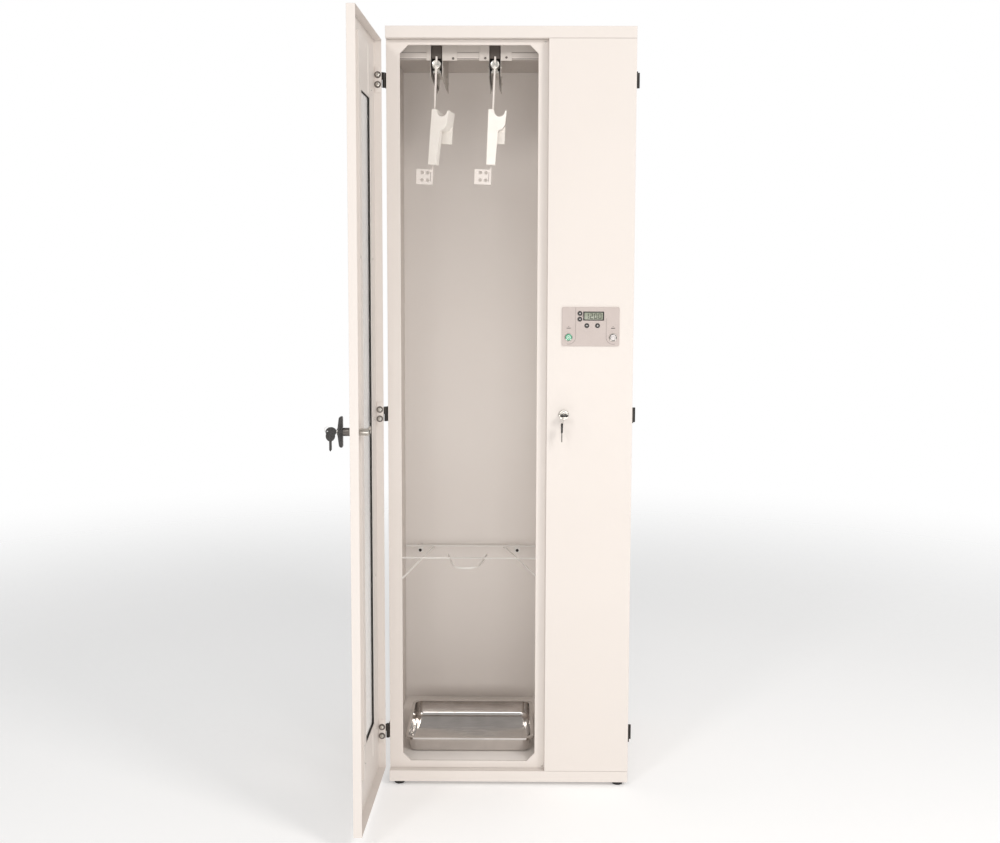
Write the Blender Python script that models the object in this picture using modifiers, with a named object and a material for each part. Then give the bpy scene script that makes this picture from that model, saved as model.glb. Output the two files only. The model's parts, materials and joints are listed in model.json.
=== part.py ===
"""A two-position drying cabinet: a tall sheet-metal cabinet with a glazed chamber door, a narrow service
door with a control panel, two pull-out hangers, a wire shelf and a drip tray.

Lengths are metres. Until the last step the model stands in its cabinet frame: X = 0 on the cabinet's middle,
Y = 0 on the outer face of the closed doors with +Y into the cabinet, and Z = 0 on the underside of the
plinth. Doors are modelled closed, and the empty on each hinge line turns them to their rest angle.
"""

import math

import bmesh
import bpy
from mathutils import Matrix, Vector

# Cabinet
WIDTH = 0.600
DEPTH = 0.490
HEIGHT = 1.862
PLINTH_HEIGHT = 0.028
CAP_HEIGHT = 0.028
SHEET = 0.0015
DOOR_SHEET = 0.0012
GAP = 0.0003
FOOT_HEIGHT = 0.010
FOOT_RADIUS = 0.013
HALF = WIDTH / 2

# Front frame, with the chamber's opening on the left and the service bay's on the right
FRAME_FRONT = 0.020
FRAME_LIP = 0.008
FRAME_BACK = FRAME_FRONT + FRAME_LIP
OPENING_LOW = 0.046
OPENING_HIGH = 1.821
CHAMBER_X = (-0.267, 0.066)
BAY_X = (0.102, 0.282)
OPENING_CHAMFER = 0.020
PARTITION_X = 0.0885

# Doors
DOOR_THICKNESS = 0.0195
DOOR_LOW = PLINTH_HEIGHT + 0.0005
DOOR_HIGH = HEIGHT - CAP_HEIGHT - 0.0005
DOOR_SPLIT_X = (0.0880, 0.0905)
LEFT_DOOR_ANGLE = 92.0
HINGE_X = 0.3056
HINGE_Y = 0.0245
HINGE_HEIGHTS = {"bottom": 0.123, "middle": 0.9305, "top": 1.7385}
HINGE_LENGTH = 0.036
KNUCKLE_RADIUS = 0.0039
PIN_RADIUS = 0.0018
LEAF_THICKNESS = 0.0025

# Window of the chamber door
WINDOW_X = -0.1140
WINDOW_HALF = 0.0640
WINDOW_LOW = 0.190
WINDOW_HIGH = 1.678
GLASS_THICKNESS = 0.004
GLASS_MARGIN = 0.010
LINER_HALF = 0.096
LINER_LOW = 0.115
LINER_HIGH = 1.800
LINER_FACE = 0.0095

# Handle, locks and keys
HANDLE_X = 0.042
HANDLE_Z = 0.9305
HANDLE_LENGTH = 0.068
HANDLE_REACH = 0.0343
STEM_LENGTH = 0.0228
STEM_RADIUS = 0.0085
HANDLE_KEY_Y = -0.0485
SPARE_SIDE_STEP = 0.0052
SHAFT_RADIUS = 0.0050
LOCK_X = 0.132
LOCK_Z = 0.9325
CAM_Y = (0.0303, 0.0335)
CAM_LENGTH = 0.042
LOCK_CAM_LENGTH = 0.036
CAM_WIDTH = 0.016
KEY_BOW = (0.0120, 0.0102)
KEY_BOW_THICKNESS = 0.0044
KEY_BLADE_LENGTH = 0.022
KEY_BLADE_WIDTH = 0.0056
KEY_BLADE_THICKNESS = 0.0020
KEYWAY = (0.0034, 0.0015)
KEY_BORE = 0.0038

# Control panel on the service door
PANEL_X = (0.1265, 0.2655)
PANEL_Z = (1.1016, 1.1956)
PANEL_FRONT = -0.0030
DISPLAY_X = (0.1772, 0.2282)
DISPLAY_Z = (1.1632, 1.1852)
KEYPAD_RADIUS = 0.0046
KEYPAD = {
    "button_up": (0.1694, 1.1805),
    "button_down": (0.1694, 1.1666),
    "button_minus": (0.1864, 1.1510),
    "button_plus": (0.2124, 1.1510),
}
SWITCH_RADIUS = 0.0072
SWITCHES = {"button_start": (0.1424, 1.1226), "button_stop": (0.2503, 1.1226)}

# Hangers: each runs on a two-stage slide inside a ceiling bracket
HANGERS = {"left": -0.1810, "right": -0.0390}
HOOK_TWIST = {"left": -18.0, "right": 0.0}
HOOK_TILT = {"left": 2.1, "right": 0.0}
HOOK_SHIFT = {"left": 0.0075, "right": -0.0030}
HANGER_LEAN = 2.2
BRACKET_FRONT = 0.060
BRACKET_LENGTH = 0.285
BRACKET_HALF = 0.0142
BRACKET_LOW = 1.7535
BRACKET_HIGH = 1.8305
EARS_X = {"left": (-0.2055, -0.1308), "right": (-0.0773, 0.0020)}
EAR_LOW = 1.791
SLIDE_HALF = 0.0119
SLIDE_LENGTH = 0.270
PIVOT_Z = 1.7805
PIVOT_RADIUS = 0.011
STRAP_THICKNESS = 0.0040
STRAP_Y = (0.0460, 0.0655)
STRAP_TOP = 1.7985
STRAP_LOW = 1.4916
HOOK_FRONT = 0.0270
HOOK_PLATE_BACK = 0.0428
HOOK_BACK = 0.0705
HOOK_TOP = 1.6706

# Wire shelf and drip tray
WIRE = 0.0050
SHELF_Z = 0.4980
SHELF_WIRE_X = (-0.295, 0.085)
SHELF_MID_X = -0.1155
SHELF_ARM_REAR_X = (-0.2165, -0.0130)
SHELF_ARM_FRONT = ((-0.2750, 0.1080), (0.0698, 0.1400))
SHELF_TAB = 0.140
TRAY_LOW = 0.0463
TRAY_DEPTH = 0.040
TRAY_X = (-0.2653, 0.0645)
TRAY_Y = (0.068, 0.343)
TRAY_RIM = 0.0065
TRAY_CORNER = 0.021

MATERIALS = {
    "coating": ((0.90, 0.85, 0.80), 0.35, 0.0),
    "black_plastic": ((0.03, 0.03, 0.03), 0.40, 0.0),
    "white_plastic": ((0.92, 0.91, 0.88), 0.35, 0.0),
    "black_steel": ((0.04, 0.04, 0.04), 0.35, 0.8),
    "zinc": ((0.60, 0.60, 0.58), 0.35, 1.0),
    "stainless": ((0.62, 0.61, 0.60), 0.12, 1.0),
    "glass": ((0.85, 0.92, 0.90), 0.05, 0.0),
    "panel": ((0.64, 0.58, 0.54), 0.45, 0.0),
    "green": ((0.10, 0.65, 0.30), 0.30, 0.0),
    "rubber": ((0.04, 0.04, 0.04), 0.80, 0.0),
}

for old in list(bpy.data.objects):
    bpy.data.objects.remove(old)
PARTS = bpy.data.collections.new("drying_cabinet")
CUTTERS = bpy.data.collections.new("cutters")
CUTTERS.hide_render = True
bpy.context.scene.collection.children.link(PARTS)
bpy.context.scene.collection.children.link(CUTTERS)
PIVOTS = {}


def material(slot):
    """The slot's Principled material, made the first time it is asked for."""
    if slot in bpy.data.materials:
        return bpy.data.materials[slot]
    colour, roughness, metallic = MATERIALS[slot]
    made = bpy.data.materials.new(slot)
    made.use_nodes = True
    shader = made.node_tree.nodes["Principled BSDF"]
    shader.inputs["Base Color"].default_value = (*colour, 1.0)
    shader.inputs["Roughness"].default_value = roughness
    shader.inputs["Metallic"].default_value = metallic
    return made


def pivot(name, at, parent=None, turn=(0.0, 0.0, 0.0)):
    """An empty on a joint's axis. at is its place in the cabinet frame with every door closed."""
    empty = bpy.data.objects.new(name, None)
    PARTS.objects.link(empty)
    PIVOTS[name] = Vector(at)
    empty.parent = bpy.data.objects[parent] if parent else None
    empty.location = Vector(at) - (PIVOTS[parent] if parent else Vector())
    empty.rotation_euler = [math.radians(angle) for angle in turn]
    return name


def place(name, mesh, slot, parent, collection=None):
    """Makes the mesh, drawn in the cabinet frame, an object that hangs on a pivot."""
    obj = bpy.data.objects.new(name, mesh)
    (collection or PARTS).objects.link(obj)
    obj.parent = bpy.data.objects[parent]
    obj.location = -PIVOTS[parent]
    if slot:
        mesh.materials.append(material(slot))
    return obj


def mesh_from(bm, name):
    mesh = bpy.data.meshes.new(name)
    bm.to_mesh(mesh)
    bm.free()
    return mesh


def box_mesh(low, high):
    bm = bmesh.new()
    bmesh.ops.create_cube(bm, size=1.0)
    size = Vector(high) - Vector(low)
    bmesh.ops.scale(bm, vec=size, verts=bm.verts)
    bmesh.ops.translate(bm, vec=Vector(low) + size / 2, verts=bm.verts)
    return mesh_from(bm, "box")


def axis_matrix(axis):
    """Turns local Z onto a cabinet axis, keeping right-handed order: X takes (Y, Z), Y takes (Z, X)."""
    if axis == "X":
        return Matrix(((0, 0, 1), (1, 0, 0), (0, 1, 0))).to_4x4()
    if axis == "Y":
        return Matrix(((0, 1, 0), (0, 0, 1), (1, 0, 0))).to_4x4()
    return Matrix.Identity(4)


def rod_mesh(centre, radius, axis, low, high, sides=24):
    """A cylinder along an axis, from low to high. centre gives its two other coordinates in X, Y, Z order."""
    bm = bmesh.new()
    bmesh.ops.create_cone(
        bm, cap_ends=True, segments=sides, radius1=radius, radius2=radius, depth=high - low
    )
    mesh = mesh_from(bm, "rod")
    middle = (low + high) / 2
    first, second = centre
    at = {"X": (middle, first, second), "Y": (first, middle, second), "Z": (first, second, middle)}[axis]
    mesh.transform(Matrix.Translation(at) @ axis_matrix(axis))
    mesh.shade_smooth()
    mesh.set_sharp_from_angle(angle=math.radians(40))
    return mesh


def plate_mesh(outlines, axis, low, high):
    """A flat plate from filled outlines, the later ones holes, drawn in XZ, YZ or XY across its axis."""
    curve = bpy.data.curves.new("plate", "CURVE")
    curve.dimensions = "2D"
    curve.fill_mode = "BOTH"
    curve.extrude = (high - low) / 2
    for outline in outlines:
        spline = curve.splines.new("POLY")
        spline.points.add(len(outline) - 1)
        for point, (u, v) in zip(spline.points, outline):
            point.co = (u, v, 0, 1) if axis != "Y" else (v, u, 0, 1)
        spline.use_cyclic_u = True
    return welded(curve, Matrix.Translation(along(axis, (low + high) / 2)) @ axis_matrix(axis))


def along(axis, distance):
    return Vector([distance if axis == letter else 0.0 for letter in "XYZ"])


def welded(curve, matrix):
    """The curve as a mesh with its caps joined on."""
    guide = bpy.data.objects.new("guide", curve)
    bpy.context.scene.collection.objects.link(guide)
    graph = bpy.context.evaluated_depsgraph_get()
    mesh = bpy.data.meshes.new_from_object(guide.evaluated_get(graph))
    bpy.data.objects.remove(guide)
    bm = bmesh.new()
    bm.from_mesh(mesh)
    bmesh.ops.remove_doubles(bm, verts=bm.verts, dist=0.000001)
    bmesh.ops.recalc_face_normals(bm, faces=bm.faces)
    bm.to_mesh(mesh)
    bm.free()
    mesh.transform(matrix)
    return mesh


def wire_mesh(points, diameter):
    """A bent wire through the points."""
    curve = bpy.data.curves.new("wire", "CURVE")
    curve.dimensions = "3D"
    curve.bevel_depth = diameter / 2
    curve.bevel_resolution = 2
    curve.use_fill_caps = True
    spline = curve.splines.new("POLY")
    spline.points.add(len(points) - 1)
    for point, co in zip(spline.points, points):
        point.co = (*co, 1)
    mesh = welded(curve, Matrix.Identity(4))
    mesh.shade_smooth()
    mesh.set_sharp_from_angle(angle=math.radians(50))
    return mesh


def boolean(target, operation, meshes):
    """Cuts the meshes from the target, or joins them to it. Each is drawn in the cabinet frame."""
    for number, mesh in enumerate(meshes):
        name = f"{target.name}_{operation.lower()}_{number}"
        other = bpy.data.objects.new(name, mesh)
        CUTTERS.objects.link(other)
        other.parent = target.parent
        other.location = target.location
        other.hide_render = True
        other.display_type = "WIRE"
        modifier = target.modifiers.new(name, "BOOLEAN")
        modifier.operation = operation
        modifier.object = other
    return target


def cut(target, *meshes):
    return boolean(target, "DIFFERENCE", meshes)


def join(target, *meshes):
    return boolean(target, "UNION", meshes)


def box(name, low, high, slot, parent="cabinet"):
    return place(name, box_mesh(low, high), slot, parent)


def arc(centre, radius, start, end, steps):
    """Points round an arc, angles in degrees from +u towards +v."""
    angles = [math.radians(start + (end - start) * step / steps) for step in range(steps + 1)]
    return [(centre[0] + radius * math.cos(a), centre[1] + radius * math.sin(a)) for a in angles]


def circle(centre, radius, steps=20):
    return arc(centre, radius, 0, 360, steps)[:-1]


def rectangle(u, v):
    return [(u[0], v[0]), (u[1], v[0]), (u[1], v[1]), (u[0], v[1])]


def chamfered(u, v, size):
    """A rectangle with its corners cut at 45 degrees."""
    return [
        (u[0] + size, v[0]), (u[1] - size, v[0]), (u[1], v[0] + size), (u[1], v[1] - size),
        (u[1] - size, v[1]), (u[0] + size, v[1]), (u[0], v[1] - size), (u[0], v[0] + size),
    ]


def rounded(u, v, radius, steps=5):
    """A rectangle with round corners."""
    return (
        arc((u[1] - radius, v[0] + radius), radius, -90, 0, steps)
        + arc((u[1] - radius, v[1] - radius), radius, 0, 90, steps)
        + arc((u[0] + radius, v[1] - radius), radius, 90, 180, steps)
        + arc((u[0] + radius, v[0] + radius), radius, 180, 270, steps)
    )


# --- Cabinet body ---------------------------------------------------------------------------------------


def hollow_slab(name, low_z, high_z, open_up):
    """The cap or the plinth: a folded sheet slab, open to the cabinet behind the doors' line."""
    slab = box(name, (-HALF, 0, low_z), (HALF, DEPTH, high_z), "coating")
    inner = HALF - SHEET
    deep = FRAME_FRONT + SHEET
    floor, roof = (low_z + SHEET, high_z + SHEET) if open_up else (low_z - SHEET, high_z - SHEET)
    nose_low, nose_high = low_z + SHEET, high_z - SHEET
    return cut(
        slab,
        box_mesh((-inner, deep, floor), (inner, DEPTH - SHEET, roof)),
        box_mesh((-inner + SHEET, SHEET, nose_low), (inner - SHEET, deep + SHEET, nose_high)),
    )


def front_frame():
    """One folded sheet with both openings, lips turned back round each opening and round the outside."""
    low, high = PLINTH_HEIGHT + GAP, HEIGHT - CAP_HEIGHT - GAP
    openings = [
        chamfered(CHAMBER_X, (OPENING_LOW, OPENING_HIGH), OPENING_CHAMFER),
        chamfered(BAY_X, (OPENING_LOW, OPENING_HIGH), OPENING_CHAMFER),
    ]
    outline = rectangle((-HALF, HALF), (low, high))
    mesh = plate_mesh([outline, *openings], "Y", FRAME_FRONT, FRAME_BACK)
    frame = place("front_frame", mesh, "coating", "cabinet")
    lips = [
        chamfered((x[0] - SHEET, x[1] + SHEET), (OPENING_LOW - SHEET, OPENING_HIGH + SHEET), OPENING_CHAMFER)
        for x in (CHAMBER_X, BAY_X)
    ]
    inside = rectangle((-HALF + SHEET, HALF - SHEET), (low + SHEET, high - SHEET))
    return cut(frame, plate_mesh([inside, *lips], "Y", FRAME_FRONT + SHEET, FRAME_BACK + SHEET))


def slots(name_axis, across, first, pitch, count, length, height, through):
    """A column of level slots through a panel that stands across name_axis."""
    meshes = []
    for number in range(count):
        z = first + pitch * number
        if name_axis == "X":
            low = (through[0], across - length / 2, z)
            high = (through[1], across + length / 2, z + height)
        else:
            low = (across - length / 2, through[0], z)
            high = (across + length / 2, through[1], z + height)
        meshes.append(box_mesh(low, high))
    return meshes


def walls():
    """The side panels, the back with its intake slots and inlet hole, the partition and the floor."""
    low, high = PLINTH_HEIGHT + GAP, HEIGHT - CAP_HEIGHT - GAP
    front, back = FRAME_BACK + GAP, DEPTH - SHEET - GAP
    for side, x in (("left", -HALF), ("right", HALF - SHEET)):
        box(f"side_panel_{side}", (x, front, low), (x + SHEET, back, high), "coating")
    panel = box("back_panel", (-HALF, DEPTH - SHEET, low), (HALF, DEPTH, high), "coating")
    through = (DEPTH - 0.01, DEPTH + 0.01)
    cut(panel, *slots("Y", 0.195, 0.100, 0.020, 7, 0.110, 0.006, through))
    cut(panel, box_mesh((0.1698, through[0], 0.2998), (0.2182, through[1], 0.3282)))
    wall = box(
        "partition", (PARTITION_X, front, low), (PARTITION_X + SHEET, back, high), "coating"
    )
    through = (PARTITION_X - 0.01, PARTITION_X + 0.01)
    cut(wall, *slots("X", 0.420, 0.130, 0.018, 7, 0.070, 0.005, through))
    cut(wall, *slots("X", 0.420, 1.560, 0.018, 7, 0.070, 0.005, through))
    box(
        "chamber_floor",
        (-HALF + SHEET + GAP, front, OPENING_LOW - SHEET),
        (PARTITION_X - GAP, back, OPENING_LOW),
        "coating",
    )


def ceiling():
    """The chamber's ceiling with the folded crossbeam that carries the hanger brackets' ears."""
    high = HEIGHT - CAP_HEIGHT - GAP
    left, right = -HALF + SHEET + GAP, PARTITION_X - GAP
    corners = (left, FRAME_BACK + GAP, high - SHEET), (right, DEPTH - SHEET - GAP, high)
    sheet = box("chamber_ceiling", *corners, "coating")
    beam_front = BRACKET_FRONT + SHEET + GAP
    faces = []
    edges = [left]
    for x in HANGERS.values():
        edges += [x - BRACKET_HALF - SHEET - GAP, x + BRACKET_HALF + SHEET + GAP]
    edges.append(right)
    for start, end in zip(edges[::2], edges[1::2]):
        faces.append(box_mesh((start, beam_front, 1.7945), (end, beam_front + SHEET, high - SHEET / 2)))
        faces.append(box_mesh((start, beam_front, 1.7945), (end, beam_front + 0.020, 1.7945 + SHEET)))
    return join(sheet, *faces)


def feet():
    """Four turned rubber feet."""
    profile = [(0.0, -GAP), (0.007, -GAP), (0.007, -0.003), (FOOT_RADIUS, -0.004)]
    profile += [(FOOT_RADIUS, -FOOT_HEIGHT + 0.001), (FOOT_RADIUS - 0.001, -FOOT_HEIGHT), (0.0, -FOOT_HEIGHT)]
    for row, y in (("front", 0.020), ("rear", DEPTH - 0.035)):
        for side, x in (("left", -0.276), ("right", 0.276)):
            foot = turned(f"foot_{row}_{side}", profile, "rubber", 24)
            foot.location += Vector((x, y, 0))


def turned(name, profile, slot, steps, parent="cabinet"):
    """A profile in XZ, from top to bottom, turned round Z with a Screw modifier."""
    bm = bmesh.new()
    verts = [bm.verts.new((x, 0, z)) for x, z in profile]
    for first, second in zip(verts, verts[1:]):
        bm.edges.new((first, second))
    obj = place(name, mesh_from(bm, name), slot, parent)
    screw = obj.modifiers.new("turn", "SCREW")
    screw.steps = steps
    screw.render_steps = steps
    screw.use_merge_vertices = True
    screw.merge_threshold = 0.00001
    return obj


# --- Hinges ---------------------------------------------------------------------------------------------


def leaf(name, side, z, on_door, parent):
    """Half a hinge: a plate outboard of the side, and a knuckle on the hinge line. The cabinet's half is the
    lower knuckle and carries the pin, and the door's half turns on it."""
    sign = -1 if side == "left" else 1
    inner, outer = sign * (HALF + GAP), sign * (HALF + GAP + LEAF_THICKNESS)
    across = (min(inner, outer), max(inner, outer))
    bottom, top = z - HINGE_LENGTH / 2, z + HINGE_LENGTH / 2
    own = (z + GAP / 2, top) if on_door else (bottom, z - GAP / 2)
    plate_y = (0.0015, 0.0200) if on_door else (0.0290, 0.0500)
    arm_y = (0.0190, HINGE_Y) if on_door else (HINGE_Y, 0.0300)
    obj = box(name, (across[0], plate_y[0], bottom), (across[1], plate_y[1], top), "black_steel", parent)
    axis = (sign * HINGE_X, HINGE_Y)
    arm = box_mesh((across[0], arm_y[0], own[0]), (across[1], arm_y[1], own[1]))
    knuckle = rod_mesh(axis, KNUCKLE_RADIUS, "Z", own[0], own[1], 16)
    join(obj, arm, knuckle)
    if on_door:
        return cut(obj, rod_mesh(axis, PIN_RADIUS + GAP, "Z", own[0] - 0.002, own[1] - 0.002, 12))
    return join(obj, rod_mesh(axis, PIN_RADIUS, "Z", z - 0.004, z + 0.013, 12))


def hinges():
    for side in ("left", "right"):
        for level, z in HINGE_HEIGHTS.items():
            leaf(f"hinge_{side}_{level}_frame", side, z, False, "cabinet")
            leaf(f"hinge_{side}_{level}_door", side, z, True, f"{side}_door")


# --- Doors ----------------------------------------------------------------------------------------------


def door_pan(name, x, parent):
    """A door skin folded into a pan, open to the cabinet."""
    skin = box(name, (x[0], 0, DOOR_LOW), (x[1], DOOR_THICKNESS, DOOR_HIGH), "coating", parent)
    low = (x[0] + DOOR_SHEET, DOOR_SHEET, DOOR_LOW + DOOR_SHEET)
    high = (x[1] - DOOR_SHEET, DOOR_THICKNESS + 0.01, DOOR_HIGH - DOOR_SHEET)
    return cut(skin, box_mesh(low, high))


def left_door():
    """The glazed chamber door: skin, glass and the liner that holds the glass against the skin."""
    skin = door_pan("left_door_skin", (-HALF, DOOR_SPLIT_X[0]), "left_door")
    window = (WINDOW_X - WINDOW_HALF, WINDOW_X + WINDOW_HALF)
    hole = box_mesh((window[0], -0.01, WINDOW_LOW), (window[1], 0.05, WINDOW_HIGH))
    cut(skin, hole, rod_mesh((HANDLE_X, HANDLE_Z), 0.0065, "Y", -0.01, 0.01))
    back = DOOR_SHEET + GAP
    glass_x = (window[0] - GLASS_MARGIN, window[1] + GLASS_MARGIN)
    glass_z = (WINDOW_LOW - GLASS_MARGIN, WINDOW_HIGH + GLASS_MARGIN)
    box(
        "door_window", (glass_x[0], back, glass_z[0]), (glass_x[1], back + GLASS_THICKNESS, glass_z[1]),
        "glass", "left_door",
    )
    liner_x = (WINDOW_X - LINER_HALF, WINDOW_X + LINER_HALF)
    liner = box(
        "left_door_liner", (liner_x[0], back, LINER_LOW), (liner_x[1], LINER_FACE, LINER_HIGH),
        "coating", "left_door",
    )
    pocket_low = (liner_x[0] + SHEET, back - 0.001, LINER_LOW + SHEET)
    pocket_high = (liner_x[1] - SHEET, LINER_FACE - SHEET, LINER_HIGH - SHEET)
    cut(liner, box_mesh(pocket_low, pocket_high), hole.copy())


def key(name, centre, turn, parent):
    """A key whose blade points along +Y before it is turned about X, then about Y: a thick oval bow with a
    ring hole at its far end, and a thin tapered blade."""
    about_x, about_y = turn
    rotation = Matrix.Rotation(math.radians(about_y), 4, "Y") @ Matrix.Rotation(math.radians(about_x), 4, "X")
    pose = Matrix.Translation(centre) @ rotation
    length, half_width = KEY_BOW
    oval = [(length * u, half_width * v) for u, v in circle((0, 0), 1.0, 24)]
    hole = circle((-length + 0.0045, 0), 0.0022, 12)
    bow = plate_mesh([oval, hole], "X", -KEY_BOW_THICKNESS / 2, KEY_BOW_THICKNESS / 2)
    half = KEY_BLADE_WIDTH / 2
    tip = length + KEY_BLADE_LENGTH
    outline = [(length - 0.004, -half), (tip - 0.003, -half), (tip, -half + 0.002)]
    outline += [(tip, -half + 0.003), (tip - 0.004, half), (length - 0.004, half)]
    blade = plate_mesh([outline], "X", -KEY_BLADE_THICKNESS / 2, KEY_BLADE_THICKNESS / 2)
    for mesh in (bow, blade):
        mesh.transform(pose)
    return join(place(name, bow, "black_plastic", parent), blade)


def latch_outline(angle, length):
    """A latch cam seen from the front: a round eye and an arm, angle in degrees from +X towards +Z."""
    half = CAM_WIDTH / 2
    reach = length - 0.004
    outline = arc((0, 0), half, 90, 270, 12) + [(reach, -half), (length, -half + 0.004)]
    outline += [(length, half - 0.004), (reach, half)]
    cosine, sine = math.cos(math.radians(angle)), math.sin(math.radians(angle))
    return [(u * cosine - v * sine, u * sine + v * cosine) for u, v in outline]


def shifted(outline, by):
    return [(u + by[0], v + by[1]) for u, v in outline]


def slot_mesh(at, half, y):
    """A straight slot along Y, round the point at, with its half sizes in X and Z."""
    return box_mesh((at[0] - half[0], y[0], at[1] - half[1]), (at[0] + half[0], y[1], at[1] + half[1]))


def handle():
    """The T handle outside, the boss and cam inside, and the two keys."""
    ends, middle = HANDLE_REACH - 0.004, HANDLE_REACH
    half = HANDLE_LENGTH / 2
    rows = [(-half, ends - 0.003), (-half + 0.003, ends), (0, middle)]
    rows += [(half - 0.003, ends), (half, ends - 0.003)]
    bar = [(-reach, HANDLE_Z + z) for z, reach in rows]
    bar += [(-STEM_LENGTH - 0.001, HANDLE_Z + half), (-STEM_LENGTH, HANDLE_Z + half - 0.003)]
    bar += [(-STEM_LENGTH, HANDLE_Z - half + 0.003), (-STEM_LENGTH - 0.001, HANDLE_Z - half)]
    mesh = plate_mesh([bar], "X", HANDLE_X - 0.0065, HANDLE_X + 0.0065)
    grip = place("t_handle", mesh, "black_plastic", "latch_handle")
    at = (HANDLE_X, HANDLE_Z)
    join(
        grip,
        rod_mesh(at, STEM_RADIUS, "Y", -STEM_LENGTH - 0.004, -GAP),
        rod_mesh(at, SHAFT_RADIUS, "Y", -0.003, CAM_Y[1] + 0.004, 16),
    )
    cut(grip, rod_mesh(at, KEY_BORE, "Y", -HANDLE_REACH - 0.005, -0.006, 20))
    cam = place(
        "latch_cam",
        plate_mesh([shifted(latch_outline(180, CAM_LENGTH), at)], "Y", CAM_Y[0], CAM_Y[1]),
        "zinc",
        "latch_handle",
    )
    join(cam, rod_mesh(at, 0.0080, "Y", DOOR_SHEET + GAP, CAM_Y[0] + 0.001))
    cut(cam, rod_mesh(at, SHAFT_RADIUS + GAP, "Y", -0.01, 0.05, 16))
    key("handle_key", (HANDLE_X, HANDLE_KEY_Y, HANDLE_Z), (0, 0), "handle_key_turn")
    spare_at = (HANDLE_X - SPARE_SIDE_STEP, HANDLE_KEY_Y - 0.0025, HANDLE_Z - 0.0100)
    key("handle_spare_key", spare_at, (-90, 0), "handle_spare_swing")


def right_door():
    """The service door with its panel, buttons, lock and keys."""
    skin = door_pan("right_door_skin", (DOOR_SPLIT_X[1], HALF), "right_door")
    at = (LOCK_X, LOCK_Z)
    cut(skin, rod_mesh(at, 0.0095, "Y", -0.01, 0.01))
    cut(skin, *[rod_mesh(spot, 0.0100, "Y", -0.01, 0.01) for spot in SWITCHES.values()])
    holes = [circle(spot, KEYPAD_RADIUS + GAP) for spot in KEYPAD.values()]
    holes += [circle(spot, SWITCH_RADIUS + GAP, 24) for spot in SWITCHES.values()]
    mesh = plate_mesh([rounded(PANEL_X, PANEL_Z, 0.003), *holes], "Y", PANEL_FRONT, -GAP)
    panel = place("control_panel", mesh, "panel", "right_door")
    low = (DISPLAY_X[0], PANEL_FRONT - 0.002, DISPLAY_Z[0])
    cut(panel, box_mesh(low, (DISPLAY_X[1], PANEL_FRONT + 0.001, DISPLAY_Z[1])))
    for name, spot in KEYPAD.items():
        mesh = rod_mesh(spot, KEYPAD_RADIUS, "Y", PANEL_FRONT - 0.0018, -0.0013, 20)
        place(name, mesh, "black_plastic", name + "_press")
    for name, spot in SWITCHES.items():
        slot = "green" if name == "button_start" else "zinc"
        place(name, rod_mesh(spot, SWITCH_RADIUS, "Y", PANEL_FRONT - 0.0030, 0.006), slot, name + "_press")
    plug = place("lock_plug", rod_mesh(at, 0.0090, "Y", -0.004, CAM_Y[0] - 0.001), "zinc", "lock_turn")
    join(
        plug,
        rod_mesh(at, 0.0110, "Y", -0.0060, -GAP),
        rod_mesh(at, SHAFT_RADIUS, "Y", 0.020, CAM_Y[1] + 0.003, 16),
        plate_mesh([shifted(latch_outline(-90, LOCK_CAM_LENGTH), at)], "Y", CAM_Y[0], CAM_Y[1]),
    )
    cut(plug, slot_mesh(at, KEYWAY, (-0.01, 0.016)))
    key("lock_key", (LOCK_X, -0.0215, LOCK_Z), (0, 90), "lock_turn")
    key("lock_spare_key", (0.1266, -0.0290, 0.9030), (-90, 0), "lock_spare_swing")


# --- Hangers --------------------------------------------------------------------------------------------


def bracket(side, x):
    """The ceiling bracket: a folded channel, open below and in front, with an ear each side of its mouth."""
    wide = BRACKET_HALF + SHEET / 2
    back = BRACKET_FRONT + BRACKET_LENGTH
    low, high = (x - wide, BRACKET_FRONT, BRACKET_LOW), (x + wide, back, BRACKET_HIGH)
    channel = box(f"hanger_bracket_{side}", low, high, "coating")
    inner = BRACKET_HALF - SHEET / 2
    low = (x - inner, BRACKET_FRONT - 0.01, BRACKET_LOW - 0.01)
    cut(channel, box_mesh(low, (x + inner, back + 0.01, BRACKET_HIGH - SHEET)))
    ears = []
    for sign, end in zip((-1, 1), EARS_X[side]):
        ends = sorted((x + sign * (inner + SHEET / 4), end))
        front = BRACKET_FRONT - SHEET / 4
        ears.append(box_mesh((ends[0], front, EAR_LOW), (ends[1], front + SHEET, BRACKET_HIGH - SHEET / 2)))
    return join(channel, *ears)


def slides(side, x):
    """The middle slide, a channel open below, and the carriage inside it with its round end plate."""
    front = BRACKET_FRONT + 0.012
    back = front + SLIDE_LENGTH
    low, high = 1.7595, 1.7935
    corners = (x - SLIDE_HALF, front, low), (x + SLIDE_HALF, back, high)
    middle = box(f"slide_{side}", *corners, "zinc", f"slide_{side}_run")
    inner = SLIDE_HALF - 0.0012
    cut(middle, box_mesh((x - inner, front - 0.01, low - 0.01), (x + inner, back + 0.01, high - 0.0012)))
    half = 0.0095
    corners = (x - half, front, low + 0.004), (x + half, back - 0.005, high - 0.0020)
    body = box(f"carriage_{side}", *corners, "zinc", f"carriage_{side}_run")
    groove_half = half - 0.0015
    cut(body, box_mesh((x - groove_half, front + 0.006, low), (x + groove_half, back + 0.01, high - 0.0040)))
    end = rod_mesh((x, PIVOT_Z), PIVOT_RADIUS, "Y", STRAP_Y[1] + GAP + 0.0005, front - GAP - 0.0003)
    neck = rod_mesh((x, PIVOT_Z), 0.0060, "Y", STRAP_Y[1] + 0.002, front + 0.004, 16)
    stud = rod_mesh((x, PIVOT_Z), 0.0030, "Y", STRAP_Y[0] - GAP, STRAP_Y[1] + 0.004, 12)
    return join(body, end, neck, stud)


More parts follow.
